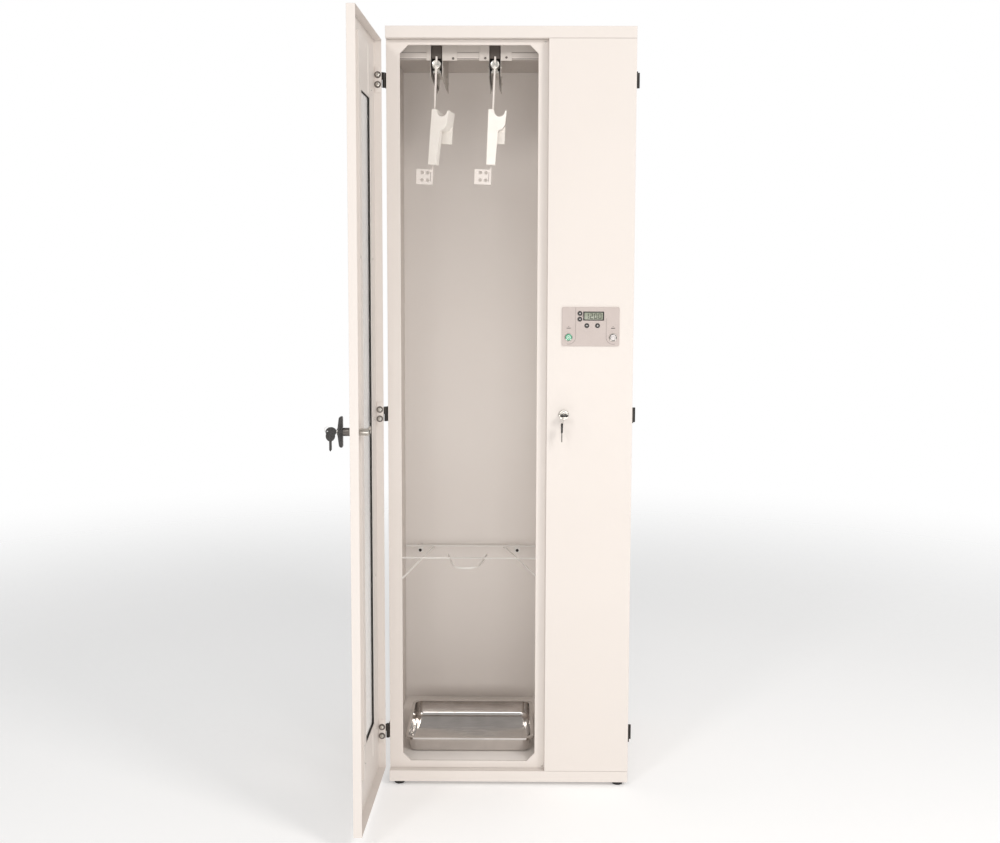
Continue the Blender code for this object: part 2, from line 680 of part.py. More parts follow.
def strap(side, x):
    """The hanging strap, edge to the front, with a bent foot plate that has four holes."""
    half = STRAP_THICKNESS / 2
    body = box(
        f"strap_{side}", (x - half, STRAP_Y[0], STRAP_LOW), (x + half, STRAP_Y[1], STRAP_TOP), "coating",
        f"hanger_{side}_turn",
    )
    foot_x = (x - 0.0390, x + half)
    foot_z = (STRAP_LOW, STRAP_LOW + 0.0366)
    outline = rectangle(foot_x, foot_z)
    holes = [
        circle((x - 0.0245 + 0.0135 * column, foot_z[0] + 0.0105 + 0.0180 * row), 0.0042, 14)
        for column in (0, 1)
        for row in (0, 1)
    ]
    join(body, plate_mesh([outline, *holes], "Y", STRAP_Y[0] - SHEET, STRAP_Y[0] + SHEET / 2))
    eye = rod_mesh((x, PIVOT_Z), 0.0095, "Y", STRAP_Y[0] + 0.003, STRAP_Y[0] + 0.009)
    join(body, eye)
    return cut(body, rod_mesh((x, PIVOT_Z), 0.0030 + GAP, "Y", STRAP_Y[0] - 0.01, STRAP_Y[1] + 0.01, 12))


def hook_outline(x):
    """The hook seen from the front: a stem on the left, a half-round cradle and its tip on the right."""
    top = HOOK_TOP
    cradle = arc((x + 0.0190, top - 0.0040), 0.0128, 200, 340, 10)
    return (
        [(x - 0.0078, top - 0.132), (x + 0.0135, top - 0.132), (x + 0.0172, top - 0.050)]
        + [(x + 0.0270, top - 0.0455), (x + 0.0335, top - 0.036), (x + 0.0362, top - 0.0040)]
        + [(x + 0.0352, top - 0.0010), (x + 0.0330, top - 0.0020)]
        + cradle[::-1]
        + [(x + 0.0045, top), (x - 0.0078, top)]
    )


def hook(side, x):
    """The moulded hook: a full front, a cradle that runs back past the strap, and a rear web. It is drawn at
    x and set off to the strap's side by its pivot."""
    mesh = plate_mesh([hook_outline(x)], "Y", HOOK_FRONT, HOOK_PLATE_BACK)
    body = place(f"hook_{side}", mesh, "white_plastic", f"hook_{side}_set")
    clear = x + STRAP_THICKNESS / 2 + 0.0005 - min(HOOK_SHIFT[side], 0.0)
    top = HOOK_TOP
    cradle = arc((x + 0.0190, top - 0.0040), 0.0128, 200, 340, 10)
    block = [(clear, top - 0.050), (x + 0.0172, top - 0.050), (x + 0.0270, top - 0.0455)]
    block += [(x + 0.0335, top - 0.036), (x + 0.0362, top - 0.0040), (x + 0.0330, top - 0.0020)]
    block += cradle[::-1] + [(clear, top - 0.0030)]
    web = rectangle((clear, x + 0.0340), (top - 0.078, top - 0.030))
    return join(
        body,
        plate_mesh([block], "Y", HOOK_FRONT + 0.004, HOOK_BACK - 0.001),
        plate_mesh([web], "Y", HOOK_BACK - 0.0040, HOOK_BACK),
    )


def hangers():
    for side, x in HANGERS.items():
        bracket(side, x)
        slides(side, x)
        strap(side, x)
        hook(side, x)


# --- Shelf, tray and machinery --------------------------------------------------------------------------


def wire_shelf():
    """Two cross wires, two arms that splay to the side walls, a front loop and two wall tabs."""
    mid, z = SHELF_MID_X, SHELF_Z
    below = z - 0.0034
    rows = [wire_mesh([(x, y, z) for x in SHELF_WIRE_X], WIRE) for y in (0.470, 0.3195)]
    shelf = place("wire_shelf", rows[0], "coating", "cabinet")
    pieces = rows[1:]
    for sign, rear, front, wall_x in zip((-1, 1), SHELF_ARM_REAR_X, SHELF_ARM_FRONT, SHELF_WIRE_X):
        x, y = front
        route = [(rear, 0.476), front, (x + sign * 0.0030, y - 0.0080)]
        route += [(x + sign * 0.0090, y - 0.0125), (wall_x, y - 0.0140)]
        pieces.append(wire_mesh([(x, y, below) for x, y in route], WIRE))
    bend = arc((0.0, 0.255), 0.036, 190, 350, 12)
    loop = [(-0.0535, 0.372), *bend, (0.0535, 0.372)]
    pieces.append(wire_mesh([(mid + x, y, below) for x, y in loop], WIRE))
    wall = DEPTH - SHEET - GAP
    for sign in (-1, 1):
        x = mid + sign * SHELF_TAB
        pieces.append(box_mesh((x - 0.008, wall - 0.0020, z - 0.022), (x + 0.008, wall, z + 0.0015)))
        pieces.append(box_mesh((x - 0.008, 0.470, z - 0.0012), (x + 0.008, wall, z + 0.0012)))
    return join(shelf, *pieces)


def drip_tray():
    """A pressed tray with round corners and a rolled rim: an open surface given thickness by Solidify."""
    rim = TRAY_RIM
    bm = bmesh.new()
    bmesh.ops.create_cube(bm, size=1.0)
    size = Vector((TRAY_X[1] - TRAY_X[0] - 2 * rim, TRAY_Y[1] - TRAY_Y[0] - 2 * rim, TRAY_DEPTH))
    bmesh.ops.scale(bm, vec=size, verts=bm.verts)
    top = [face for face in bm.faces if face.normal.z > 0.5]
    bmesh.ops.delete(bm, geom=top, context="FACES_ONLY")
    upright = [e for e in bm.edges if abs(e.verts[0].co.z - e.verts[1].co.z) > size.z / 2]
    bmesh.ops.bevel(bm, geom=upright, offset=TRAY_CORNER, segments=5, affect="EDGES", profile=0.5)
    bottom = [v for v in bm.verts if v.co.z < 0]
    bmesh.ops.scale(bm, vec=(0.985, 0.975, 1), verts=bottom)
    base = [e for e in bm.edges if e.verts[0].co.z < 0 and e.verts[1].co.z < 0]
    bmesh.ops.bevel(bm, geom=base, offset=0.010, segments=3, affect="EDGES", profile=0.5)
    edge = [e for e in bm.edges if e.is_boundary]
    out = bmesh.ops.extrude_edge_only(bm, edges=edge)["geom"]
    flange = [v for v in out if isinstance(v, bmesh.types.BMVert)]
    wide = (size.x + 2 * rim) / size.x
    deep = (size.y + 2 * rim) / size.y
    bmesh.ops.scale(bm, vec=(wide, deep, 1), verts=flange)
    edge = [e for e in bm.edges if e.is_boundary]
    out = bmesh.ops.extrude_edge_only(bm, edges=edge)["geom"]
    lip = [v for v in out if isinstance(v, bmesh.types.BMVert)]
    bmesh.ops.translate(bm, vec=(0, 0, -0.004), verts=lip)
    bmesh.ops.recalc_face_normals(bm, faces=bm.faces)
    middle = Vector((sum(TRAY_X) / 2, sum(TRAY_Y) / 2, TRAY_LOW + TRAY_DEPTH / 2))
    bmesh.ops.translate(bm, vec=middle, verts=bm.verts)
    tray = place("drip_tray", mesh_from(bm, "drip_tray"), "stainless", "tray_run")
    tray.data.shade_smooth()
    tray.data.set_sharp_from_angle(angle=math.radians(50))
    solid = tray.modifiers.new("thickness", "SOLIDIFY")
    solid.thickness = 0.0009
    solid.offset = 1.0 if tray_normals_face_in(tray.data) else -1.0
    solid.use_even_offset = True
    return tray


def tray_normals_face_in(mesh):
    """Whether the tray's open surface faces up into the tray, so that thickness goes on its upper side."""
    base = min(mesh.polygons, key=lambda face: face.center.z)
    return base.normal.z > 0


def blower():
    """The blower casing, with a side inlet and an outlet up to the heater, and its impeller."""
    centre = (0.300, 0.200)
    casing = place("fan_housing", rod_mesh(centre, 0.078, "X", 0.105, 0.175, 32), "zinc", "cabinet")
    join(casing, box_mesh((0.105, 0.300, 0.200), (0.175, 0.378, 0.330)))
    cut(
        casing,
        rod_mesh(centre, 0.0765, "X", 0.1065, 0.1735, 32),
        box_mesh((0.1065, 0.3015, 0.201), (0.1735, 0.3765, 0.340)),
        rod_mesh(centre, 0.045, "X", 0.170, 0.180, 24),
    )
    disc = rod_mesh(centre, 0.058, "X", 0.1120, 0.1140, 28)
    wheel = place("fan_impeller", disc, "black_plastic", "fan_turn")
    blades = []
    for number in range(14):
        blade = box_mesh((0.1130, 0.044, -0.0010), (0.1600, 0.0565, 0.0010))
        turn = Matrix.Rotation(math.radians(360 / 14 * number), 4, "X")
        tilt = Matrix.Translation((0, 0.05, 0)) @ Matrix.Rotation(math.radians(30), 4, "X")
        blade.transform(Matrix.Translation((0, *centre)) @ turn @ tilt @ Matrix.Translation((0, -0.05, 0)))
        blades.append(blade)
    ring = rod_mesh(centre, 0.0580, "X", 0.1590, 0.1610, 28)
    join(wheel, *blades, ring)
    cut(wheel, rod_mesh(centre, 0.0430, "X", 0.1585, 0.1700, 24))
    join(wheel, rod_mesh(centre, 0.0120, "X", 0.1135, 0.1450, 16))
    return wheel


def machinery():
    """The heater above the blower, the controller on the partition and the power inlet in the back."""
    heater = box("air_heater", (0.105, 0.300, 0.3320), (0.175, 0.378, 0.4000), "stainless")
    for number in range(8):
        x = 0.1095 + 0.0080 * number
        cut(heater, box_mesh((x, 0.306, 0.325), (x + 0.0050, 0.372, 0.410)))
    wall = PARTITION_X + SHEET + GAP
    case = box("controller_box", (wall, 0.080, 1.060), (wall + 0.055, 0.240, 1.240), "panel")
    for number in range(5):
        z = 1.090 + 0.012 * number
        cut(case, box_mesh((wall + 0.050, 0.110, z), (wall + 0.060, 0.210, z + 0.005)))
    low, high = (0.1701, DEPTH - 0.026, 0.3001), (0.2179, DEPTH - GAP, 0.3279)
    inlet = box("power_inlet", low, high, "black_plastic")
    socket = chamfered((0.1825, 0.2055), (0.3055, 0.3225), 0.004)
    cut(inlet, plate_mesh([socket], "Y", DEPTH - 0.018, DEPTH + 0.01))
    for offset in (-0.007, 0.0, 0.007):
        x = 0.1940 + offset
        z = 0.3140 + (0.002 if offset == 0 else -0.002)
        join(inlet, box_mesh((x - 0.001, DEPTH - 0.020, z - 0.002), (x + 0.001, DEPTH - 0.006, z + 0.002)))


# --- Assembly -------------------------------------------------------------------------------------------


def pivots():
    """The cabinet's own empty, then one on each joint's axis."""
    pivot("cabinet", (0, 0, 0))
    pivot("left_door", (-HINGE_X, HINGE_Y, 0), "cabinet", (0, 0, -LEFT_DOOR_ANGLE))
    pivot("right_door", (HINGE_X, HINGE_Y, 0), "cabinet")
    pivot("latch_handle", (HANDLE_X, 0, HANDLE_Z), "left_door")
    pivot("handle_key_turn", (HANDLE_X, HANDLE_KEY_Y, HANDLE_Z), "latch_handle")
    hung_from = (HANDLE_X - SPARE_SIDE_STEP, HANDLE_KEY_Y - 0.0045, HANDLE_Z)
    pivot("handle_spare_swing", hung_from, "handle_key_turn")
    pivot("lock_turn", (LOCK_X, 0, LOCK_Z), "right_door")
    pivot("lock_spare_swing", (0.1266, -0.0290, LOCK_Z), "lock_turn")
    for name, (x, z) in {**KEYPAD, **SWITCHES}.items():
        pivot(name + "_press", (x, PANEL_FRONT, z), "right_door")
    for side, x in HANGERS.items():
        pivot(f"slide_{side}_run", (x, BRACKET_FRONT, PIVOT_Z), "cabinet")
        pivot(f"carriage_{side}_run", (x, BRACKET_FRONT, PIVOT_Z), "cabinet")
        pivot(f"hanger_{side}_turn", (x, STRAP_Y[0], PIVOT_Z), f"carriage_{side}_run", (0, HANGER_LEAN, 0))
        turn = (0, HOOK_TILT[side], HOOK_TWIST[side])
        pivot(f"hook_{side}_set", (x, STRAP_Y[0], HOOK_TOP), f"hanger_{side}_turn", turn)
        bpy.data.objects[f"hook_{side}_set"].location.x += HOOK_SHIFT[side]
    pivot("tray_run", (sum(TRAY_X) / 2, sum(TRAY_Y) / 2, TRAY_LOW), "cabinet")
    pivot("fan_turn", (0.140, 0.300, 0.200), "cabinet")


def centre_on_origin():
    """Stands the whole part, as it rests, over the origin with its soles on Z = 0."""
    bpy.context.view_layer.update()
    graph = bpy.context.evaluated_depsgraph_get()
    corners = []
    for obj in PARTS.objects:
        if obj.type == "MESH":
            shape = obj.evaluated_get(graph)
            corners += [shape.matrix_world @ vertex.co for vertex in shape.data.vertices]
    low = Vector([min(corner[i] for corner in corners) for i in range(3)])
    high = Vector([max(corner[i] for corner in corners) for i in range(3)])
    middle = (low + high) / 2
    bpy.data.objects["cabinet"].location = (-middle.x, -middle.y, -low.z)


def main():
    pivots()
    hollow_slab("top_cap", HEIGHT - CAP_HEIGHT, HEIGHT, open_up=False)
    hollow_slab("plinth", 0.0, PLINTH_HEIGHT, open_up=True)
    front_frame()
    walls()
    ceiling()
    feet()
    hinges()
    left_door()
    handle()
    right_door()
    hangers()
    wire_shelf()
    drip_tray()
    blower()
    machinery()
    centre_on_origin()


main()
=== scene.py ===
"""The looks of the drying cabinet: powder coat, glass, polished tray, keys, screws, panel print and seals,
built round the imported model.

Lengths are metres. Places are given in the cabinet's own frame: X = 0 on its middle, Y = 0 on the closed
doors' outer face, Z = 0 under its plinth. What sits on the chamber door is given for the closed door and
carried to where the open door rests."""

import json
import math

import bmesh
import bpy
from mathutils import Matrix, Vector


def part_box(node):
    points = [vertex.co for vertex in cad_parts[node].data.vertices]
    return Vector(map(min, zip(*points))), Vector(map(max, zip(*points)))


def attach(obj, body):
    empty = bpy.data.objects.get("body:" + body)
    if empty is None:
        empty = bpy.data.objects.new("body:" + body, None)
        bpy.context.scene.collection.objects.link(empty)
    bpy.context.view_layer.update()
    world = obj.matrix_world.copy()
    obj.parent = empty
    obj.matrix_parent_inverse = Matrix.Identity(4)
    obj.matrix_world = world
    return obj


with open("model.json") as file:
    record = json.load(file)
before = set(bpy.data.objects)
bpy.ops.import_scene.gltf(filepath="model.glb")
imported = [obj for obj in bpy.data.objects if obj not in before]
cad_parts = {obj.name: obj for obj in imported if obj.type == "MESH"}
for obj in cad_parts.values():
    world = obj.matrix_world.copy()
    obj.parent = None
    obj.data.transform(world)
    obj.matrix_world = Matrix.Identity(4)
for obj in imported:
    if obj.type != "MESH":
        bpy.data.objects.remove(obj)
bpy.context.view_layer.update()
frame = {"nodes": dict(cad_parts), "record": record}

NODES = frame["nodes"]
SLOTS = {part["node"]: part["material_slot"] for part in frame["record"]["subparts"]}

# --- Places taken from the frame ------------------------------------------------------------------------

CAP_LOW, CAP_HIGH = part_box("top_cap")
PLINTH_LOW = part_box("plinth")[0]
ORIGIN = Vector(((CAP_LOW.x + CAP_HIGH.x) / 2, CAP_LOW.y, PLINTH_LOW.z))
HERE = Matrix.Translation(ORIGIN)
SIDE = round((CAP_HIGH.x - CAP_LOW.x) / 2, 5)
BACK = round(CAP_HIGH.y - CAP_LOW.y, 5)


def middle(node):
    """The X and Z of the middle of a node's box in the cabinet's frame, to a hundredth of a millimetre."""
    low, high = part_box(node)
    centre = (low + high) / 2 - ORIGIN
    return round(centre.x, 5), round(centre.z, 5)


HINGE_Z = {level: middle(f"hinge_right_{level}_frame")[1] for level in ("bottom", "middle", "top")}
HANGER_X = {side: middle(f"carriage_{side}")[0] for side in ("left", "right")}
LOCK = middle("lock_key")
INLET = middle("power_inlet")

LEFT_HINGE = Vector((-0.3056, 0.0245, 0.0))
LEFT_DOOR_REST = math.radians(-92.0)
ON_LEFT_DOOR = (
    HERE
    @ Matrix.Translation(LEFT_HINGE)
    @ Matrix.Rotation(LEFT_DOOR_REST, 4, "Z")
    @ Matrix.Translation(-LEFT_HINGE)
)
PIVOT_Y = 0.046
PIVOT_Z = 1.7805
HANGER_LEAN = math.radians(2.2)


def on_hanger(side):
    """From the cabinet's frame to a leaning hanger, turned about its pivot."""
    pivot = Vector((HANGER_X[side], PIVOT_Y, PIVOT_Z))
    lean = Matrix.Rotation(HANGER_LEAN, 4, "Y")
    return HERE @ Matrix.Translation(pivot) @ lean @ Matrix.Translation(-pivot)


# --- Camera and light -----------------------------------------------------------------------------------

CAMERA_AT = (-0.0034, -2.9214, 1.2721)
CAMERA_TURN = (84.4708, -0.1710, 0.4192)
LENS = 43.23
SENSOR = 36.0
SHIFT_Y = -0.030

WHITE = (1.0, 0.985, 0.965)
WARM = (1.0, 0.965, 0.93)
# Each light: where it stands, what it faces, its width and height, its watts and its colour.
LIGHTS = {
    "light_left": ((-1.5, -2.8, 2.8), (-0.1, 0.2, 0.8), (0.6, 0.6), 17, WHITE),
    "light_right": ((1.9, -2.2, 2.6), (0.0, 0.2, 0.6), (0.8, 0.8), 36, WARM),
    "light_front": ((0.0, -3.4, 0.55), (0.0, 0.0, 0.55), (1.8, 0.9), 29, WARM),
}
SKY = (1.0, 1.0, 1.0)
SKY_SEEN = 1.0
SKY_LIGHT = 0.58


def camera():
    data = bpy.data.cameras.new("camera")
    data.lens = LENS
    data.sensor_width = SENSOR
    data.shift_y = SHIFT_Y
    obj = bpy.data.objects.new("camera", data)
    bpy.context.scene.collection.objects.link(obj)
    obj.location = HERE @ Vector(CAMERA_AT)
    obj.rotation_euler = [math.radians(angle) for angle in CAMERA_TURN]
    bpy.context.scene.camera = obj


def area_light(name, at, target, size, power, colour):
    data = bpy.data.lights.new(name, "AREA")
    data.shape = "RECTANGLE"
    data.size, data.size_y = size
    data.energy = power
    data.color = colour
    obj = bpy.data.objects.new(name, data)
    bpy.context.scene.collection.objects.link(obj)
    obj.location = HERE @ Vector(at)
    direction = HERE @ Vector(target) - obj.location
    obj.rotation_euler = direction.to_track_quat("-Z", "Y").to_euler()


def lights():
    """Three soft lights, and a white surround that the camera sees brighter than the light it gives."""
    for name, settings in LIGHTS.items():
        area_light(name, *settings)
    world = bpy.data.worlds.new("studio")
    bpy.context.scene.world = world
    world.use_nodes = True
    nodes, links = world.node_tree.nodes, world.node_tree.links
    background = nodes["Background"]
    background.inputs["Color"].default_value = (*SKY, 1.0)
    strength = nodes.new("ShaderNodeMapRange")
    strength.inputs["To Min"].default_value = SKY_LIGHT
    strength.inputs["To Max"].default_value = SKY_SEEN
    links.new(nodes.new("ShaderNodeLightPath").outputs["Is Camera Ray"], strength.inputs["Value"])
    links.new(strength.outputs["Result"], background.inputs["Strength"])
    bpy.context.scene.view_settings.view_transform = "Standard"


# --- Materials ------------------------------------------------------------------------------------------


class Shader:
    """A Principled material whose colour, roughness and bump come from noise, built step by step."""

    def __init__(self, name, roughness, metallic=0.0, ior=1.45):
        self.material = bpy.data.materials.new(name)
        self.material.use_nodes = True
        self.nodes = self.material.node_tree.nodes
        self.links = self.material.node_tree.links
        self.surface = self.nodes["Principled BSDF"]
        self.surface.inputs["Roughness"].default_value = roughness
        self.surface.inputs["Metallic"].default_value = metallic
        self.surface.inputs["IOR"].default_value = ior
        self.coordinates = self.nodes.new("ShaderNodeTexCoord").outputs["Object"]
        self.normal = None

    def stretched(self, scale):
        mapping = self.nodes.new("ShaderNodeMapping")
        mapping.inputs["Scale"].default_value = scale
        self.links.new(self.coordinates, mapping.inputs["Vector"])
        return mapping.outputs["Vector"]

    def noise(self, scale, detail=2.0, stretch=None, distortion=0.0):
        texture = self.nodes.new("ShaderNodeTexNoise")
        texture.inputs["Scale"].default_value = scale
        texture.inputs["Detail"].default_value = detail
        texture.inputs["Distortion"].default_value = distortion
        vector = self.stretched(stretch) if stretch else self.coordinates
        self.links.new(vector, texture.inputs["Vector"])
        return texture.outputs["Fac"]

    def spread(self, value, low, high, low_out, high_out, smooth=False):
        """The value, mapped from one range to another."""
        node = self.nodes.new("ShaderNodeMapRange")
        if smooth:
            node.interpolation_type = "SMOOTHSTEP"
        limits = {"From Min": low, "From Max": high, "To Min": low_out, "To Max": high_out}
        for name, number in limits.items():
            node.inputs[name].default_value = number
        self.links.new(value, node.inputs["Value"])
        return node.outputs["Result"]

    def mix(self, factor, first, second):
        """A colour between two, each a colour or a socket."""
        node = self.nodes.new("ShaderNodeMix")
        node.data_type = "RGBA"
        for socket, value in (("Factor", factor), ("A", first), ("B", second)):
            wanted = "VALUE" if socket == "Factor" else "RGBA"
            target = [s for s in node.inputs if s.name == socket and s.type == wanted][0]
            if isinstance(value, bpy.types.NodeSocket):
                self.links.new(value, target)
            else:
                target.default_value = (*value, 1.0)
        return [s for s in node.outputs if s.type == "RGBA"][0]

    def colour(self, socket):
        self.links.new(socket, self.surface.inputs["Base Color"])

    def rough(self, socket):
        self.links.new(socket, self.surface.inputs["Roughness"])

    def bump(self, height, distance, strength):
        """Raises the surface by a height, on top of the bumps it has."""
        node = self.nodes.new("ShaderNodeBump")
        node.inputs["Distance"].default_value = distance
        node.inputs["Strength"].default_value = strength
        self.links.new(height, node.inputs["Height"])
        if self.normal:
            self.links.new(self.normal, node.inputs["Normal"])
        self.normal = node.outputs["Normal"]
        self.links.new(self.normal, self.surface.inputs["Normal"])


def powder_coat(name, colour, shade):
    """Satin powder coat: a fine orange peel over long soft waves, and slight colour drift."""
    shader = Shader(name, roughness=0.38)
    drift = shader.spread(shader.noise(3.0, 3.0), 0.35, 0.65, 0.0, 1.0)
    grain = shader.spread(shader.noise(900.0, 2.0), 0.3, 0.7, 0.0, 1.0)
    base = shader.mix(drift, colour, shade)
    shader.colour(shader.mix(shader.spread(grain, 0.0, 1.0, 0.0, 0.18), base, shade))
    shader.rough(shader.spread(shader.noise(120.0, 3.0), 0.3, 0.7, 0.36, 0.48))
    shader.bump(shader.noise(650.0, 2.0), 0.00012, 0.35)
    shader.bump(shader.noise(7.0, 2.0), 0.0012, 0.20)
    shader.surface.inputs["Coat Weight"].default_value = 0.08
    shader.surface.inputs["Coat Roughness"].default_value = 0.12
    return shader.material


def moulded(name, colour, shade, roughness, grain=0.00006):
    """Moulded plastic: a fine spark-eroded grain with faint flow variation."""
    shader = Shader(name, roughness=roughness)
    drift = shader.spread(shader.noise(40.0, 3.0), 0.35, 0.65, 0.0, 1.0)
    shader.colour(shader.mix(drift, colour, shade))
    shader.rough(shader.spread(shader.noise(300.0, 3.0), 0.3, 0.7, roughness - 0.06, roughness + 0.06))
    shader.bump(shader.noise(2200.0, 2.0), grain, 0.5)
    return shader.material


def metal(name, colour, shade, roughness, stretch, bump=0.00004, waviness=0.0):
    """Bare metal: brushing stretched along one axis, with stains in the polish."""
    shader = Shader(name, roughness=roughness, metallic=1.0)
    brushed = shader.noise(1.0, 4.0, stretch)
    stains = shader.spread(shader.noise(18.0, 4.0, distortion=0.6), 0.35, 0.7, 0.0, 1.0)
    shader.colour(shader.mix(stains, colour, shade))
    shader.rough(shader.spread(brushed, 0.3, 0.7, roughness * 0.75, roughness * 1.35))
    shader.bump(brushed, bump, 0.4)
    if waviness:
        shader.bump(shader.noise(14.0, 2.0), waviness, 0.5)
    return shader.material


def clear(name, tint, smear):
    """Clear glass with faint wipe marks, bending little light so that a slanting view stays bright."""
    shader = Shader(name, roughness=0.02, ior=1.2)
    shader.surface.inputs["Transmission Weight"].default_value = 1.0
    wiped = shader.spread(shader.noise(2.5, 2.0), 0.4, 0.75, 0.0, 1.0)
    shader.colour(shader.mix(wiped, tint, smear))
    shader.rough(shader.spread(wiped, 0.0, 1.0, 0.03, 0.05))
    return shader.material


def lit(name, colour, shade, glow):
    """A lens or screen with a little light of its own."""
    shader = Shader(name, roughness=0.25)
    cells = shader.spread(shader.noise(800.0, 2.0), 0.3, 0.7, 0.0, 1.0)
    body = shader.mix(cells, colour, shade)
    shader.colour(body)
    shader.links.new(body, shader.surface.inputs["Emission Color"])
    shader.surface.inputs["Emission Strength"].default_value = glow
    shader.rough(shader.spread(shader.noise(200.0, 2.0), 0.3, 0.7, 0.18, 0.30))
    return shader.material


def coats():
    """The cabinet's powder coat; a lighter copy for the chamber whose extra brightness is painted light, a
    darker copy for its ceiling and hanger brackets whose darkness is painted shade, and a light one for the
    shelf.
    """
    return {
        "coat": powder_coat("powder_coat", (0.745, 0.69, 0.648), (0.73, 0.676, 0.634)),
        # A lighter copy of the same coat for the chamber: its extra brightness is painted light.
        "coat_painted_light": powder_coat("powder_coat_painted_light", (0.90, 0.855, 0.815), (0.89, 0.84, 0.80)),
        # A darker copy of the same coat for the ceiling and hanger brackets: its darkness is painted shade.
        "coat_painted_shade": powder_coat("powder_coat_painted_shade", (0.60, 0.55, 0.51), (0.58, 0.53, 0.49)),
        "coat_wire": powder_coat("powder_coat_wire", (0.95, 0.93, 0.90), (0.93, 0.91, 0.88)),
    }


def plastics():
    """Plastics, rubber, prints, glass, and the lens and screen that glow."""
    flat = 0.00001
    return {
        "black_plastic": moulded("black_plastic", (0.018, 0.016, 0.015), (0.028, 0.025, 0.023), 0.28),
        "hook_plastic": moulded("hook_plastic", (0.88, 0.84, 0.79), (0.85, 0.81, 0.755), 0.34),
        "panel_foil": moulded("panel_foil", (0.535, 0.465, 0.435), (0.52, 0.45, 0.42), 0.45, 0.00003),
        "rubber": moulded("rubber", (0.018, 0.017, 0.016), (0.03, 0.028, 0.026), 0.70, 0.0001),
        # Dark brown for the outer rails inside the hanger brackets: partly the rails' own dark metal, partly
        # painted shade for the brackets' deep openings.
        "painted_shade_rail": moulded("painted_shade_rail_steel", (0.10, 0.082, 0.07), (0.085, 0.07, 0.06), 0.55),
        "bezel": moulded("display_bezel", (0.022, 0.022, 0.022), (0.03, 0.03, 0.03), 0.16, flat),
        "digit": moulded("display_digit", (0.025, 0.03, 0.022), (0.035, 0.04, 0.03), 0.3, flat),
        "ink": moulded("dark_ink", (0.06, 0.055, 0.052), (0.08, 0.073, 0.07), 0.5, flat),
        # Grey print, also used for the painted shadow lines under the crossbeam's folds.
        "grey_print_and_shadow": moulded("grey_ink_and_painted_shadow", (0.20, 0.17, 0.16), (0.22, 0.19, 0.18), 0.5, flat),
        "white_ink": moulded("white_ink", (0.80, 0.77, 0.75), (0.76, 0.73, 0.71), 0.4, flat),
        "glass": clear("glass", (0.985, 0.985, 0.98), (0.98, 0.98, 0.975)),
        "screen": lit("display_screen", (0.30, 0.32, 0.25), (0.28, 0.30, 0.235), 0.05),
        "green": lit("green_lens", (0.04, 0.33, 0.17), (0.10, 0.46, 0.27), 0.20),
    }


def metals():
    """Bare and plated metals. The last three numbers squeeze the brushing along X, Y and Z."""
    tray = ((0.66, 0.628, 0.605), (0.585, 0.558, 0.535))
    return {
        "black_steel": metal(
            "black_steel", (0.045, 0.042, 0.040), (0.065, 0.06, 0.055), 0.42, (300, 300, 40)
        ),
        "zinc": metal("zinc_plate", (0.66, 0.64, 0.60), (0.56, 0.54, 0.50), 0.28, (60, 300, 300)),
        "dark_zinc": metal("dark_zinc", (0.20, 0.18, 0.165), (0.15, 0.135, 0.125), 0.40, (60, 300, 300)),
        "stainless": metal("stainless", *tray, 0.12, (8, 260, 260), bump=0.00002, waviness=0.0010),
        "button_grey": metal(
            "button_grey", (0.34, 0.32, 0.32), (0.28, 0.265, 0.265), 0.30, (200, 200, 20)
        ),
    }


LOOKS = {**coats(), **plastics(), **metals()}


def paint(obj, material):
    obj.data.materials.clear()
    obj.data.materials.append(material)


# --- Mesh tools -----------------------------------------------------------------------------------------

SINK = 0.0002
SHARP_FROM = math.radians(45)
SHARP_FROM_ON_BARS = math.radians(60)
WIRE_SIDES = 10


def mesh_from(bm):
    bmesh.ops.recalc_face_normals(bm, faces=bm.faces)
    mesh = bpy.data.meshes.new("piece")
    bm.to_mesh(mesh)
    bm.free()
    mesh.shade_smooth()
    mesh.set_sharp_from_angle(angle=SHARP_FROM)
    return mesh


def slab(low, high, bevel, segments=2):
    """A block with rounded edges."""
    bm = bmesh.new()
    bmesh.ops.create_cube(bm, size=1.0)
    size = Vector(high) - Vector(low)
    bmesh.ops.scale(bm, vec=size, verts=bm.verts)
    bmesh.ops.translate(bm, vec=Vector(low) + size / 2, verts=bm.verts)
    bmesh.ops.bevel(bm, geom=bm.edges[:], offset=bevel, segments=segments, affect="EDGES", profile=0.5)
    return mesh_from(bm)


def axis_point(axis, first, second, along):
    """The two coordinates across an axis in X, Y, Z order, and the one along it."""
    return {"X": (along, first, second), "Y": (first, along, second), "Z": (first, second, along)}[axis]


def lathe(axis, centre, profile, sides=32, closed=False):
    """A profile of (radius, place along the axis), turned round the axis. Radius 0 closes an end."""
    bm = bmesh.new()
    loops = []
    for radius, along in profile:
        if radius == 0:
            loops.append([bm.verts.new(axis_point(axis, *centre, along))])
            continue
        loop = []
        for side in range(sides):
            angle = 2 * math.pi * side / sides
            first = centre[0] + radius * math.cos(angle)
            second = centre[1] + radius * math.sin(angle)
            loop.append(bm.verts.new(axis_point(axis, first, second, along)))
        loops.append(loop)
    pairs = list(zip(loops, loops[1:])) + ([(loops[-1], loops[0])] if closed else [])
    for one, two in pairs:
        for side in range(sides):
            after = (side + 1) % sides
            corners = [one[side % len(one)], one[after % len(one)]]
            corners += [two[after % len(two)], two[side % len(two)]]
            bm.faces.new(list(dict.fromkeys(corners)))
    return mesh_from(bm)


def ring(axis, centre, radius, wire, along, sides=36):
    """A round-wire ring."""
    profile = []
    for step in range(WIRE_SIDES):
        angle = 2 * math.pi * step / WIRE_SIDES
        profile.append((radius + wire * math.cos(angle), along + wire * math.sin(angle)))
    return lathe(axis, centre, profile, sides, closed=True)


